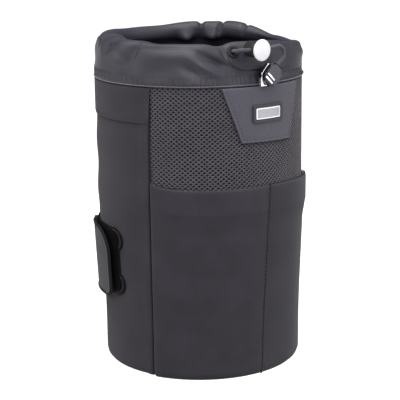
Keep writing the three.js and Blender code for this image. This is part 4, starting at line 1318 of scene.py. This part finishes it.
# Folds: turn in degrees, millimetres up the cloth, slant in degrees per millimetre, half width in degrees,
# half length in millimetres, and millimetres outwards.
FOLDS = [
    (-27.5, 14.2, -1.76, 4, 6, -3.2),
    (-33.5, 10.7, -1.34, 3, 5, 2.2),
    (-42, 9.5, -0.9, 3.5, 4, -2.0),
    (-19, 9, -1.5, 3, 3, 1.0),
    (-38, 21, 0.2, 6, 5, 1.1),
    (-44, 27, 0, 16, 5, -1.0),
    (-26, 27, 0, 5, 5, -2.0),
    (-24, 20, -0.4, 1.4, 4, -1.6),
    (-56, 18, 0, 13, 3.5, 1.5),
    (-58, 22.6, 0, 12, 1.2, -0.6),
    (-60, 9, 0.5, 8, 4, -0.8),
    (-75, 20, 0.3, 2.5, 5, -2.0),
    (-84, 20, 0, 6, 6, 2.2),
    (-94, 23.5, 0.83, 1.8, 4, -2.4),
    (-84, 11, 0, 10, 5, -2.4),
    (-103, 20, 0, 4, 6, 1.2),
    (-110, 27, -0.6, 2, 5, -1.6),
    (-104, 33, 0, 17, 4, 9),
    (-72, 32, 0, 8, 4, 3),
    (-128, 18, 0.6, 4, 6, 1.1),
    (-140, 14, 0.3, 3, 5, -1.1),
    (-174, 35, 0, 42, 5, 4.5),
    (172, 27, 0, 18, 8, -0.9),
    (150, 37, 0, 4.5, 4, 5),
    (132, 37, 0, 6, 4, 5),
    (90, 27, 0, 7, 5, -1.3),
    (140, 31, 0, 1.6, 7, -2.2),
    (126.5, 30, 0.35, 1.4, 8, -2.4),
    (109, 30, 0, 1.3, 6, -1.8),
    (116, 35, 0, 16, 5, 3.5),
    (165, 14, 0.4, 5, 6, 0.9),
    (50, 4, 0, 14, 4, -1.3),
    (50, 11, 0, 10, 4, -0.4),
    (52, 17, 0, 10, 4, 1.1),
    (54, 24, 0, 8, 4, 0.7),
    (72, 12, -0.5, 3, 6, -0.8),
    (88, 15, 0.5, 4, 6, 0.9),
    (112, 10, 0.4, 4, 5, -0.8),
]


def collar_radius(rise):
    return SEAM_RADIUS + COLLAR_PROUD - COLLAR_TAPER * (rise / COLLAR_HEIGHT) ** 2


def settled(radius, turn, rise):
    """The collar sags on the right, stands up at the back and leans in at the front, with its fittings."""
    share = np.maximum(0, rise) / COLLAR_HEIGHT
    lean = FRONT_LEAN * share * np.maximum(0, np.cos(turn - LEAN_TURN)) ** 4
    droop = DROOP * (0.5 + 0.5 * np.cos(turn - DROOP_TURN)) ** 7
    lift = BACK_LIFT * (0.5 + 0.5 * np.cos(turn - LIFT_TURN)) ** 16
    return around(radius - lean, turn, BODY_HEIGHT + rise - share * (droop - lift))


def round_bend(radius, rise, size, start, end):
    angles = np.radians(np.linspace(start, end, BEND_POINTS))
    return np.stack([radius + size * np.cos(angles), rise + size * np.sin(angles)], -1)


roll_centre = collar_radius(COLLAR_STRAIGHT) - COLLAR_ROLL
channel_foot = collar_radius(COLLAR_STITCH) - COLLAR_CLOTH - SEWN_GAP
collar_seat = SEAM_RADIUS + lining_lift - LINING_CLOTH
channel_top = (roll_centre - COLLAR_ROLL, COLLAR_STRAIGHT)
wall_rises = np.linspace(COLLAR_PROUD, COLLAR_STRAIGHT, 40)
section = np.concatenate([
    np.linspace((collar_seat, 0), (SEAM_RADIUS, 0), SEAT_POINTS),
    round_bend(SEAM_RADIUS, COLLAR_PROUD, COLLAR_PROUD, -90, 0)[1:-1],
    np.stack([collar_radius(wall_rises), wall_rises], -1),
    round_bend(roll_centre, COLLAR_STRAIGHT, COLLAR_ROLL, 0, 180)[1:],
    np.linspace(channel_top, (channel_foot - COLLAR_CLOTH, COLLAR_STITCH), 20)[1:],
])
section_along = travelled(section)
wall_start = SEAT_POINTS + BEND_POINTS - 2
section_along += COLLAR_PROUD - section_along[wall_start]
section_ahead = np.gradient(section, section_along, axis=0)
section_out = np.stack([section_ahead[:, 1], -section_ahead[:, 0]], -1)


def collar_relief(turn, along):
    """How far the cloth lies out of its even shape: folds, slow waves and puckers over the seam."""
    depth = 0.3 * np.sin(7 * turn + 0.8) + 0.25 * np.sin(11 * turn + 2.1 + 90 * along)
    near_seam = np.exp(-(((along - PUCKER_MIDDLE) / PUCKER_REACH) ** 2))
    depth = depth + PUCKER_DEPTH * (np.sin(PUCKERS * turn + 1.5 * np.sin(21 * turn)) * near_seam)
    for fold_turn, fold_along, slant, width, reach, size in FOLDS:
        drift = along / MM - fold_along
        aside = np.degrees(turn) - fold_turn - slant * drift
        aside = (aside + 180) % 360 - 180
        depth = depth + size * np.exp(-((aside / width) ** 2) - (drift / reach) ** 2)
    return depth * MM * eased(*FOLDS_START, along) * (1 - eased(*FOLDS_END, along))


def collar_face(turn, along, lift=0):
    """The collar's outer face at a turn and a length up its cloth, or a layer lifted off it.
    The channel's inner side gives way behind a fold that goes inwards."""
    radius = np.interp(along, section_along, section[:, 0])
    rise = np.interp(along, section_along, section[:, 1])
    out = np.interp(along, section_along, section_out[:, 0])
    up = np.interp(along, section_along, section_out[:, 1])
    pushed = eased(*INNER_SIDE, along) * np.maximum(0, -collar_relief(turn, rise))
    raised = collar_relief(turn, along) + pushed + lift
    return settled(radius + out * raised, turn, rise + up * raised)


collar_girth = TURN * SEAM_RADIUS
collar_length = section_along[-1] - section_along[0]


def collar_place(across, up):
    return collar_face(TURN * across / collar_girth - math.pi, section_along[0] + up)


def twill_lines(u, v):
    return ((u + v) * TURN).sine() * 0.7 + (v * TURN * 2).sine() * 0.3


def bored(piece, cutter):
    """Cuts the room of another piece out of a piece."""
    cut = piece.modifiers.new("bore", "BOOLEAN")
    cut.operation = "DIFFERENCE"
    cut.solver = "EXACT"
    cut.object = cutter
    mesh = plain_mesh(piece)
    piece.modifiers.remove(cut)
    piece.data = mesh
    bpy.data.objects.remove(cutter)
    mesh.set_sharp_from_angle(angle=math.radians(40))


twill = cloth_finish(
    "collar_twill", (41, 39, 48), twill_lines,
    pitch=1.7 * MM, depth=0.06 * MM, roughness=0.46, gloss=0.32, sheen=0.0,
)
collar = sheet_piece(
    "collar_cloth", collar_girth, collar_length, COLLAR_CLOTH, 1.0 * MM, collar_place, twill, loop=True,
)
sew_on(collar, "pouch", "collar", "collar")
whole_turn = np.linspace(-math.pi, math.pi, 500)
seam_rows = [collar_face(whole_turn, along, THREAD_RAISE) for along in SEAM_ROWS]
stitch_rows("collar_stitches", seam_rows, 2.5 * MM, "pouch", dark_thread)
# A solid light line along the collar's lower edge: a painted highlight on the folded hem edge.
collar_highlight_row = collar_face(whole_turn, HIGHLIGHT_ROW, THREAD_RAISE)
stitch_rows(
    "collar_edge_highlight", [collar_highlight_row], 1.6 * MM, "pouch", edge_thread, length=1.0, thread=HIGHLIGHT_LINE_WIDTH,
)

# Placket and eyelet: a round-cornered patch of the same twill, sewn on the collar's front where the cord
# comes out through a dark metal eyelet, darkened further as painted shade beside the cord lock.
PLACKET_LOW = 9.5 * MM
PLACKET_HIGH = 22 * MM
PLACKET_HALF = math.radians(21.5)
PLACKET_FOOT_HALF = math.radians(12.5)
PLACKET_CLOTH = 1.0 * MM
PLACKET_STITCH = 1.6 * MM
PLACKET_ROUND = 0.6
EYELET_TURN = math.radians(-18.7)
CORD_RISE = 20.2 * MM
CORD = 2.4 * MM
CORD_CLEARANCE = 0.35 * MM
EYELET_HOLE = 2.4 * MM
EYELET_BORE = 4.2 * MM
EYELET_FLANGE = 1.5 * MM
EYELET_METAL = 0.8 * MM
placket_width = 2 * PLACKET_HALF * SEAM_RADIUS
placket_height = PLACKET_HIGH - PLACKET_LOW


def placket_half(up):
    """Half the placket's sweep at a height: its two lower corners are round."""
    corner = np.sqrt(1 - (1 - np.clip(up / placket_height / PLACKET_ROUND, 0, 1)) ** 2)
    return PLACKET_FOOT_HALF + (PLACKET_HALF - PLACKET_FOOT_HALF) * corner


def placket_place(across, up, raised=0):
    turn = (2 * across / placket_width - 1) * placket_half(up)
    return collar_face(turn, PLACKET_LOW + up, SEWN_GAP + PLACKET_CLOTH + raised)


def metal_finish(name, low, high, roughness, metallic):
    """Polished or plated metal with fine wiping marks."""
    finish = Finish(name, {"Metallic": metallic})
    marks = finish.noise(1800, 4.0)
    finish.set("Base Color", finish.blend(shade(*low), shade(*high), marks))
    finish.set("Roughness", roughness + 0.15 * (marks - 0.5))
    finish.relief(marks, 0.01 * MM)
    return finish


eyelet_face = settled(collar_radius(CORD_RISE) + SEWN_GAP + PLACKET_CLOTH, EYELET_TURN, CORD_RISE)
cord_height = float(eyelet_face[2])
slope_rise = 0.75 * COLLAR_STRAIGHT
slope_low = settled(collar_radius(slope_rise), EYELET_TURN, slope_rise)
slope_high = settled(collar_radius(COLLAR_STRAIGHT), EYELET_TURN, COLLAR_STRAIGHT)
slope_in = math.hypot(*slope_low[:2]) - math.hypot(*slope_high[:2])
eyelet_tilt = math.atan2(slope_in, slope_high[2] - slope_low[2])
eyelet_out = Vector(around(math.cos(eyelet_tilt), EYELET_TURN, math.sin(eyelet_tilt)))
at_eyelet = Matrix.Translation(eyelet_face) @ eyelet_out.to_track_quat("Z", "Y").to_matrix().to_4x4()
bore_reach = COLLAR_CLOTH + PLACKET_CLOTH + 2 * SEWN_GAP
placket = sheet_piece(
    "placket_cloth", placket_width, placket_height, PLACKET_CLOTH, 0.9 * MM, placket_place, twill,
)
pin_profile = disc_profile(EYELET_HOLE, -2 * bore_reach, 2 * bore_reach, 0.2 * MM)
for pierced in (collar, placket):
    bored(pierced, turned_piece("eyelet_hole", pin_profile, 24, twill, at_eyelet))
sew_on(placket, "pouch", "collar", "collar_placket")
edge_up = np.concatenate([np.linspace(placket_height, PLACKET_STITCH, 40), np.full(40, PLACKET_STITCH)])
edge_up = np.concatenate([edge_up, edge_up[::-1]])
inset = PLACKET_STITCH * PLACKET_HALF / placket_half(edge_up)
edge_across = np.concatenate([np.zeros(40), np.linspace(0, 0.5, 40), np.linspace(0.5, 1, 40), np.ones(40)])
placket_row = placket_place(inset + edge_across * (placket_width - 2 * inset), edge_up, THREAD_RAISE)
stitch_rows("placket_stitches", [placket_row], 2.2 * MM, "pouch", dark_thread)
eyelet_inner = CORD / 2 + CORD_CLEARANCE
eyelet_outer = EYELET_BORE / 2 + EYELET_FLANGE
flange_high = SEWN_GAP + EYELET_METAL
eyelet_profile = [
    (eyelet_inner, -PLACKET_CLOTH - SEWN_GAP, 0),
    (EYELET_BORE / 2, -PLACKET_CLOTH - SEWN_GAP, 0),
    (EYELET_BORE / 2, SEWN_GAP, 0),
    (eyelet_outer, SEWN_GAP, 0.15 * MM),
    (eyelet_outer, flange_high, 0.5 * MM),
    (eyelet_inner, flange_high, 0.35 * MM),
]
# The eyelet's near-black metal is partly its own dark colour, partly painted shade beside the cord lock.
dark_metal = metal_finish("dark_metal", (22, 22, 24), (38, 38, 41), roughness=0.45, metallic=0.6)
eyelet = turned_piece("eyelet_ring", soft_outline(eyelet_profile), 48, dark_metal, at_eyelet)
sew_on(eyelet, "pouch", "gunmetal", "cord_eyelet")

# Drawcord: braided cord round the channel; its tail comes out of the eyelet, goes through the cord lock,
# turns over in an arch and ends inside the cord end.
LOCK_X = -11.8 * MM
LOCK_BACK = 62.2 * MM
LOCK_LIFT = 1.6 * MM
BARREL = 9.4 * MM
CORD_DEPTH = 6.1 * MM
LOCK_SLIDE = 4 * MM
CORD_BEND = 4.6 * MM
BEND_START = 5 * MM
BEND_LIFT = 0.7 * MM
BEND_SWEEP = math.radians(152)
CORD_DROP = 4.4 * MM
END_TILT = math.radians(44)
END_BORE = 8 * MM
BRAID_STRANDS = 4
BRAID_LAY = 2.4
lock_height = cord_height + LOCK_LIFT
cord_line = -LOCK_BACK - CORD_DEPTH
bend_height = lock_height + BEND_LIFT


def smooth_path(points, step):
    """An even line through points, rounded between them without swinging out at close ones."""
    points = np.array(points, float)
    held = np.concatenate([[2 * points[0] - points[1]], points, [2 * points[-1] - points[-2]]])
    line = []
    for four in zip(held, held[1:], held[2:], held[3:]):
        knots = np.concatenate([[0], np.cumsum(np.sqrt(np.linalg.norm(np.diff(four, axis=0), axis=1)))])
        t = np.linspace(knots[1], knots[2], 24, endpoint=False)[:, None]
        level = list(four)
        for spans in ([(0, 1), (1, 2), (2, 3)], [(0, 2), (1, 3)], [(1, 2)]):
            shares = [(t - knots[a]) / (knots[b] - knots[a]) for a, b in spans]
            level = [(1 - s) * before + s * after for s, before, after in zip(shares, level, level[1:])]
        line.append(level[0])
    line = np.concatenate([*line, points[-1:]])
    travel = travelled(line)
    even = np.linspace(0, travel[-1], round(travel[-1] / step) + 1)
    return np.stack([np.interp(even, travel, line[:, k]) for k in range(3)], -1)


def cord_piece(name, path, diameter, sides, finish, braid=0.0):
    """A round cord along a path with closed ends; its strands stand up by braid, a share of its radius."""
    ahead = np.gradient(path, axis=0)
    ahead /= np.linalg.norm(ahead, axis=1, keepdims=True)
    side = np.cross(ahead[0], (0.3, 0.2, 0.93))
    sides_along = []
    for direction in ahead:
        side = side - direction * (side @ direction)
        side = side / np.linalg.norm(side)
        sides_along.append(side)
    sides_along = np.array(sides_along)
    others = np.cross(ahead, sides_along)
    angles = np.arange(sides) * TURN / sides
    travel = travelled(path)
    lay = TURN * travel[:, None] / (BRAID_LAY * diameter)
    strands = np.sin(BRAID_STRANDS * angles + lay) * np.sin(BRAID_STRANDS * angles - lay)
    radius = diameter / 2 * (1 + braid * strands)[..., None]
    circle = np.cos(angles)[:, None] * sides_along[:, None] + np.sin(angles)[:, None] * others[:, None]
    points = (path[:, None] + radius * circle).reshape(-1, 3)
    rings = np.arange(len(path) * sides).reshape(len(path), sides)
    after = np.roll(rings, -1, 1)
    quads = np.stack([rings[:-1], after[:-1], after[1:], rings[1:]], -1).reshape(-1, 4)
    faces = [*quads.tolist(), rings[0][::-1].tolist(), rings[-1].tolist()]
    mesh = bpy.data.meshes.new(name)
    mesh.from_pydata(points.tolist(), [], faces)
    column = np.arange(sides) * TURN / sides * diameter / 2
    corners = np.array([loop.vertex_index for loop in mesh.loops])
    mesh.uv_layers.new(name="cloth").data.foreach_set(
        "uv", np.stack([column[corners % sides], travel[corners // sides]], -1).ravel(),
    )
    return add_piece(name, mesh, finish)


def braid_lines(u, v):
    return ((u + v) * TURN).sine() * ((u - v) * TURN).sine()


cord_cloth = cloth_finish(
    "braided_cord", (72, 70, 77), braid_lines,
    pitch=1.0 * MM, depth=0.08 * MM, roughness=0.7, gloss=0.2, sheen=0.05,
)
roll_inside = COLLAR_ROLL - COLLAR_CLOTH
leg_share = (COLLAR_STRAIGHT - CORD_RISE) / (COLLAR_STRAIGHT - COLLAR_STITCH)
channel_inside = roll_centre - roll_inside + leg_share * (channel_foot - roll_centre + roll_inside)
channel_middle = (collar_radius(CORD_RISE) - COLLAR_CLOTH + channel_inside) / 2
cord_aside = (CORD / 2 + SEWN_GAP) / (math.hypot(*eyelet_face[:2]) - CORD)
ring_turns = np.linspace(EYELET_TURN - cord_aside, EYELET_TURN + 3 * cord_aside - TURN, 240)
ring_relief = np.minimum(0, collar_relief((ring_turns + math.pi) % TURN - math.pi, CORD_RISE))
ring_path = settled(channel_middle + ring_relief, ring_turns, np.full_like(ring_turns, CORD_RISE))
channel_cord = cord_piece("channel_cord", ring_path, CORD, 12, cord_cloth)
sew_on(channel_cord, "pouch", "cord", "drawcord_in_channel")
end_axis = np.array([-math.sin(END_TILT), 0, -math.cos(END_TILT)])
drop_turn = (BEND_SWEEP + math.pi / 2 + END_TILT) / 2
end_top = np.array([
    BEND_START + CORD_BEND * math.sin(BEND_SWEEP) + CORD_DROP * math.cos(drop_turn),
    cord_line,
    bend_height - CORD_BEND + CORD_BEND * math.cos(BEND_SWEEP) - CORD_DROP * math.sin(drop_turn),
])
lock_left = LOCK_X - BARREL / 2
out = np.array(eyelet_out)
tail_points = [
    eyelet_face - out * (bore_reach + SEWN_GAP),
    eyelet_face,
    eyelet_face + out * (EYELET_METAL + SEWN_GAP),
    (lock_left - 4 * MM, cord_line + 6 * MM, cord_height + LOCK_LIFT / 2),
    (lock_left - 3.6 * MM, cord_line + 2.4 * MM, lock_height),
    (lock_left - 1.2 * MM, cord_line + 0.1 * MM, lock_height),
    (lock_left + 1.5 * MM, cord_line, lock_height),
    (LOCK_X, cord_line, lock_height),
    (LOCK_X + BARREL / 2 + LOCK_SLIDE + 1 * MM, cord_line, lock_height),
]
for angle in np.linspace(0, BEND_SWEEP, 7):
    bend_drop = CORD_BEND - CORD_BEND * math.cos(angle)
    tail_points.append((BEND_START + CORD_BEND * math.sin(angle), cord_line, bend_height - bend_drop))
cord_sunk = END_BORE - CORD_CLEARANCE - SEWN_GAP
tail_points += [end_top, end_top + end_axis * cord_sunk / 2, end_top + end_axis * cord_sunk]
tail_path = smooth_path(tail_points, 0.35 * MM)
tail = cord_piece("cord_tail", tail_path, CORD, 24, cord_cloth, braid=0.06)
sew_on(tail, "pouch", "cord", "drawcord_tail")

# Cord lock: a black moulded barrel on the cord, with a sprung plunger in it under a bright round button;
# the cord runs across through both.
BARREL_LENGTH = 8.2 * MM
BARREL_FLOOR = 1.2 * MM
BARREL_WALL = 1.1 * MM
STEM_CLEARANCE = 0.3 * MM
STEM_FOOT = 0.6 * MM
PRESS = 1.5 * MM
HEAD = 12.5 * MM
HEAD_THICK = 1.8 * MM
LACQUERED = 0.5 * MM
SPRING_WIRE = 0.4 * MM
SPRING_TURNS = 1.5
at_lock = Matrix.Translation((LOCK_X, -LOCK_BACK, lock_height)) @ Matrix.Rotation(math.pi / 2, 4, "X")
bore = BARREL / 2 - BARREL_WALL
cross = CORD / 2 + CORD_CLEARANCE
stem = bore - STEM_CLEARANCE
slot_low = CORD_DEPTH - cross
slot_high = CORD_DEPTH + cross + PRESS
stem_end = slot_low - STEM_FOOT
head_low = BARREL_LENGTH + PRESS + SEWN_GAP
head_high = head_low + HEAD_THICK


def button_finish():
    """Bright lacquered face with a faint clouding."""
    coat = {"Coat Weight": 0.4, "Coat Roughness": 0.1, "Specular IOR Level": 0.5}
    finish = Finish("button_lacquer", coat)
    cloud = finish.noise(300, 3.0)
    finish.set("Base Color", finish.blend(shade(200, 200, 205), shade(214, 214, 218), cloud))
    finish.set("Roughness", 0.3 + 0.12 * (cloud - 0.5))
    finish.relief(cloud, 0.01 * MM)
    return finish


plastic = grain_finish(
    "moulded_plastic", (22, 22, 24), per_metre=2400, depth=0.02 * MM, roughness=0.45, gloss=0.35,
)
lacquer = button_finish()
barrel_profile = soft_outline([
    (0, 0, 0),
    (BARREL / 2, 0, 0.8 * MM),
    (BARREL / 2, BARREL_LENGTH, 0.4 * MM),
    (bore, BARREL_LENGTH, 0.2 * MM),
    (bore, BARREL_FLOOR, 0.2 * MM),
    (0, BARREL_FLOOR, 0),
])
barrel = turned_piece("lock_housing", barrel_profile, 48, plastic, at_lock)
along_cord = Matrix.Translation((LOCK_X, cord_line, lock_height)) @ Matrix.Rotation(math.pi / 2, 4, "Y")
hole_profile = disc_profile(cross, -BARREL, BARREL, 0.1 * MM)
bored(barrel, turned_piece("cord_hole", hole_profile, 28, plastic, along_cord))
sew_on(barrel, "cord_lock", "plastic", "lock_barrel")
plunger_profile = soft_outline([
    (0, stem_end, 0),
    (stem, stem_end, 0.3 * MM),
    (stem, head_low, 0.2 * MM),
    (HEAD / 2, head_low, 0.5 * MM),
    (HEAD / 2, head_high, 0.6 * MM),
    (0, head_high, 0),
])
plunger = turned_piece("lock_plunger_button", plunger_profile, 64, lacquer, at_lock)
slot_mesh = bpy.data.meshes.new("cord_slot")
slot_build = bmesh.new()
slot_size = Matrix.Diagonal((2 * BARREL, slot_high - slot_low, 2 * cross, 1))
slot_middle = Matrix.Translation((LOCK_X, -LOCK_BACK - (slot_low + slot_high) / 2, lock_height))
bmesh.ops.create_cube(slot_build, size=1, matrix=slot_middle @ slot_size)
slot_build.to_mesh(slot_mesh)
slot_build.free()
bored(plunger, add_piece("cord_slot", slot_mesh, lacquer))
plunger.data.materials.append(plastic.material)
face_line = -LOCK_BACK - head_high + LACQUERED
for polygon in plunger.data.polygons:
    polygon.material_index = int(polygon.center.y > face_line)
sew_on(plunger, "lock_button", "button", "lock_plunger")
spring_low = BARREL_FLOOR + SEWN_GAP + SPRING_WIRE / 2
spring_high = stem_end - SEWN_GAP - SPRING_WIRE / 2
spring_turn = np.linspace(0, TURN * SPRING_TURNS, 80)
spring_reach = np.linspace(spring_low, spring_high, 80)
spring_radius = stem - SPRING_WIRE
spring_path = np.stack([
    LOCK_X + spring_radius * np.cos(spring_turn),
    -LOCK_BACK - spring_reach,
    lock_height + spring_radius * np.sin(spring_turn),
], -1)
spring_steel = metal_finish("spring_steel", (160, 162, 166), (200, 202, 206), roughness=0.3, metallic=1.0)
spring = cord_piece("lock_coil", spring_path, SPRING_WIRE, 10, spring_steel)
sew_on(spring, "cord_lock", "steel", "lock_spring")
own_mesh(spring)

# Cord end: two chamfered shells of polished dark metal, closed over the cord, with two bright grip ribs
# across the front. The rear shell runs on to a bright tip below the front one. The ribs, the tip and the
# rear shell's lower-left front bevels are painted bright: painted highlights and reflections.
END_LENGTH = 13 * MM
END_WIDTH = 11 * MM
END_THICK = 6.4 * MM
END_CHAMFER = 2.9 * MM
END_BEVEL = 0.7 * MM
RIB = 0.7 * MM
RIB_ASIDE = -1.2 * MM
RIB_PLACES = (0.66, 0.84)
shell_half = (END_THICK - SEWN_GAP) / 2
end_across = np.array([math.cos(END_TILT), 0, -math.sin(END_TILT)])


def on_end(forward):
    """Stands a flat plate in the cord end: y runs up its axis, and lift goes forward from a depth."""

    def bend(x, y, lift):
        flat = x[:, None] * end_across - y[:, None] * end_axis
        return end_top + flat + (forward + lift)[:, None] * np.array([0, -1, 0])

    return bend


half_width = END_WIDTH / 2
shoulders = [
    (half_width, END_CHAMFER - END_LENGTH),
    (half_width, -END_CHAMFER),
    (half_width - END_CHAMFER, 0),
    (END_CHAMFER - half_width, 0),
    (-half_width, -END_CHAMFER),
    (-half_width, END_CHAMFER - END_LENGTH),
]
square_foot = [(END_CHAMFER - half_width, -END_LENGTH), (half_width - END_CHAMFER, -END_LENGTH)]
tip = [(0, END_CHAMFER - half_width - END_LENGTH)]
end_shells = [
    ("cord_end_face", "cord_end_front", square_foot + shoulders, SEWN_GAP / 2),
    ("cord_end_rear", "cord_end_back", tip + shoulders, -SEWN_GAP / 2 - shell_half),
]
gunmetal = metal_finish("polished_gunmetal", (42, 42, 46), (66, 66, 71), roughness=0.2, metallic=1.0)
# Bright metal that stands for painted highlights and reflections on the cord end's tip, lower-left bevels
# and ribs.
bright_metal = metal_finish("bright_metal", (214, 214, 219), (244, 244, 247), roughness=0.2, metallic=0.9)
at_end = Matrix.Translation(end_top) @ Vector(end_axis).to_track_quat("Z", "Y").to_matrix().to_4x4()
for name, node, outline, forward in end_shells:
    on_shell = on_end(forward)
    half_shell = cut_plate(name, [np.array(outline)], shell_half, END_BEVEL, on_shell, gunmetal, 2 * MM)
    half_shell.data.materials.append(bright_metal.material)
    # The rear shell's tip, and its bevels that face front and left, take the painted highlight metal.
    for polygon in half_shell.data.polygons:
        below = Vector(end_axis) @ (polygon.center - Vector(end_top)) - END_LENGTH
        painted_rim_glint = 0.3 < -polygon.normal.y < 0.95 and Vector(end_across) @ polygon.normal < -0.3
        polygon.material_index = int(node == "cord_end_back" and (below > -0.5 * MM or painted_rim_glint))
    hole = disc_profile(cross, -2 * MM, END_BORE, 0.1 * MM)
    bored(half_shell, turned_piece("end_hole", hole, 24, gunmetal, at_end))
    sew_on(half_shell, "pouch", "gunmetal", node)
on_rib = on_end(END_THICK / 2 - 0.1 * MM)
# The grip ribs are painted bright as highlights.
for count, along in enumerate(RIB_PLACES):
    bar = oblong(0.6 * END_WIDTH, 1.6 * RIB, 0.3 * MM) + np.array([RIB_ASIDE, -END_LENGTH * along])
    rib = cut_plate(f"grip_rib_{count}", [bar], RIB, 0.25 * MM, on_rib, bright_metal, 4 * MM)
    sew_on(rib, "pouch", "gunmetal")
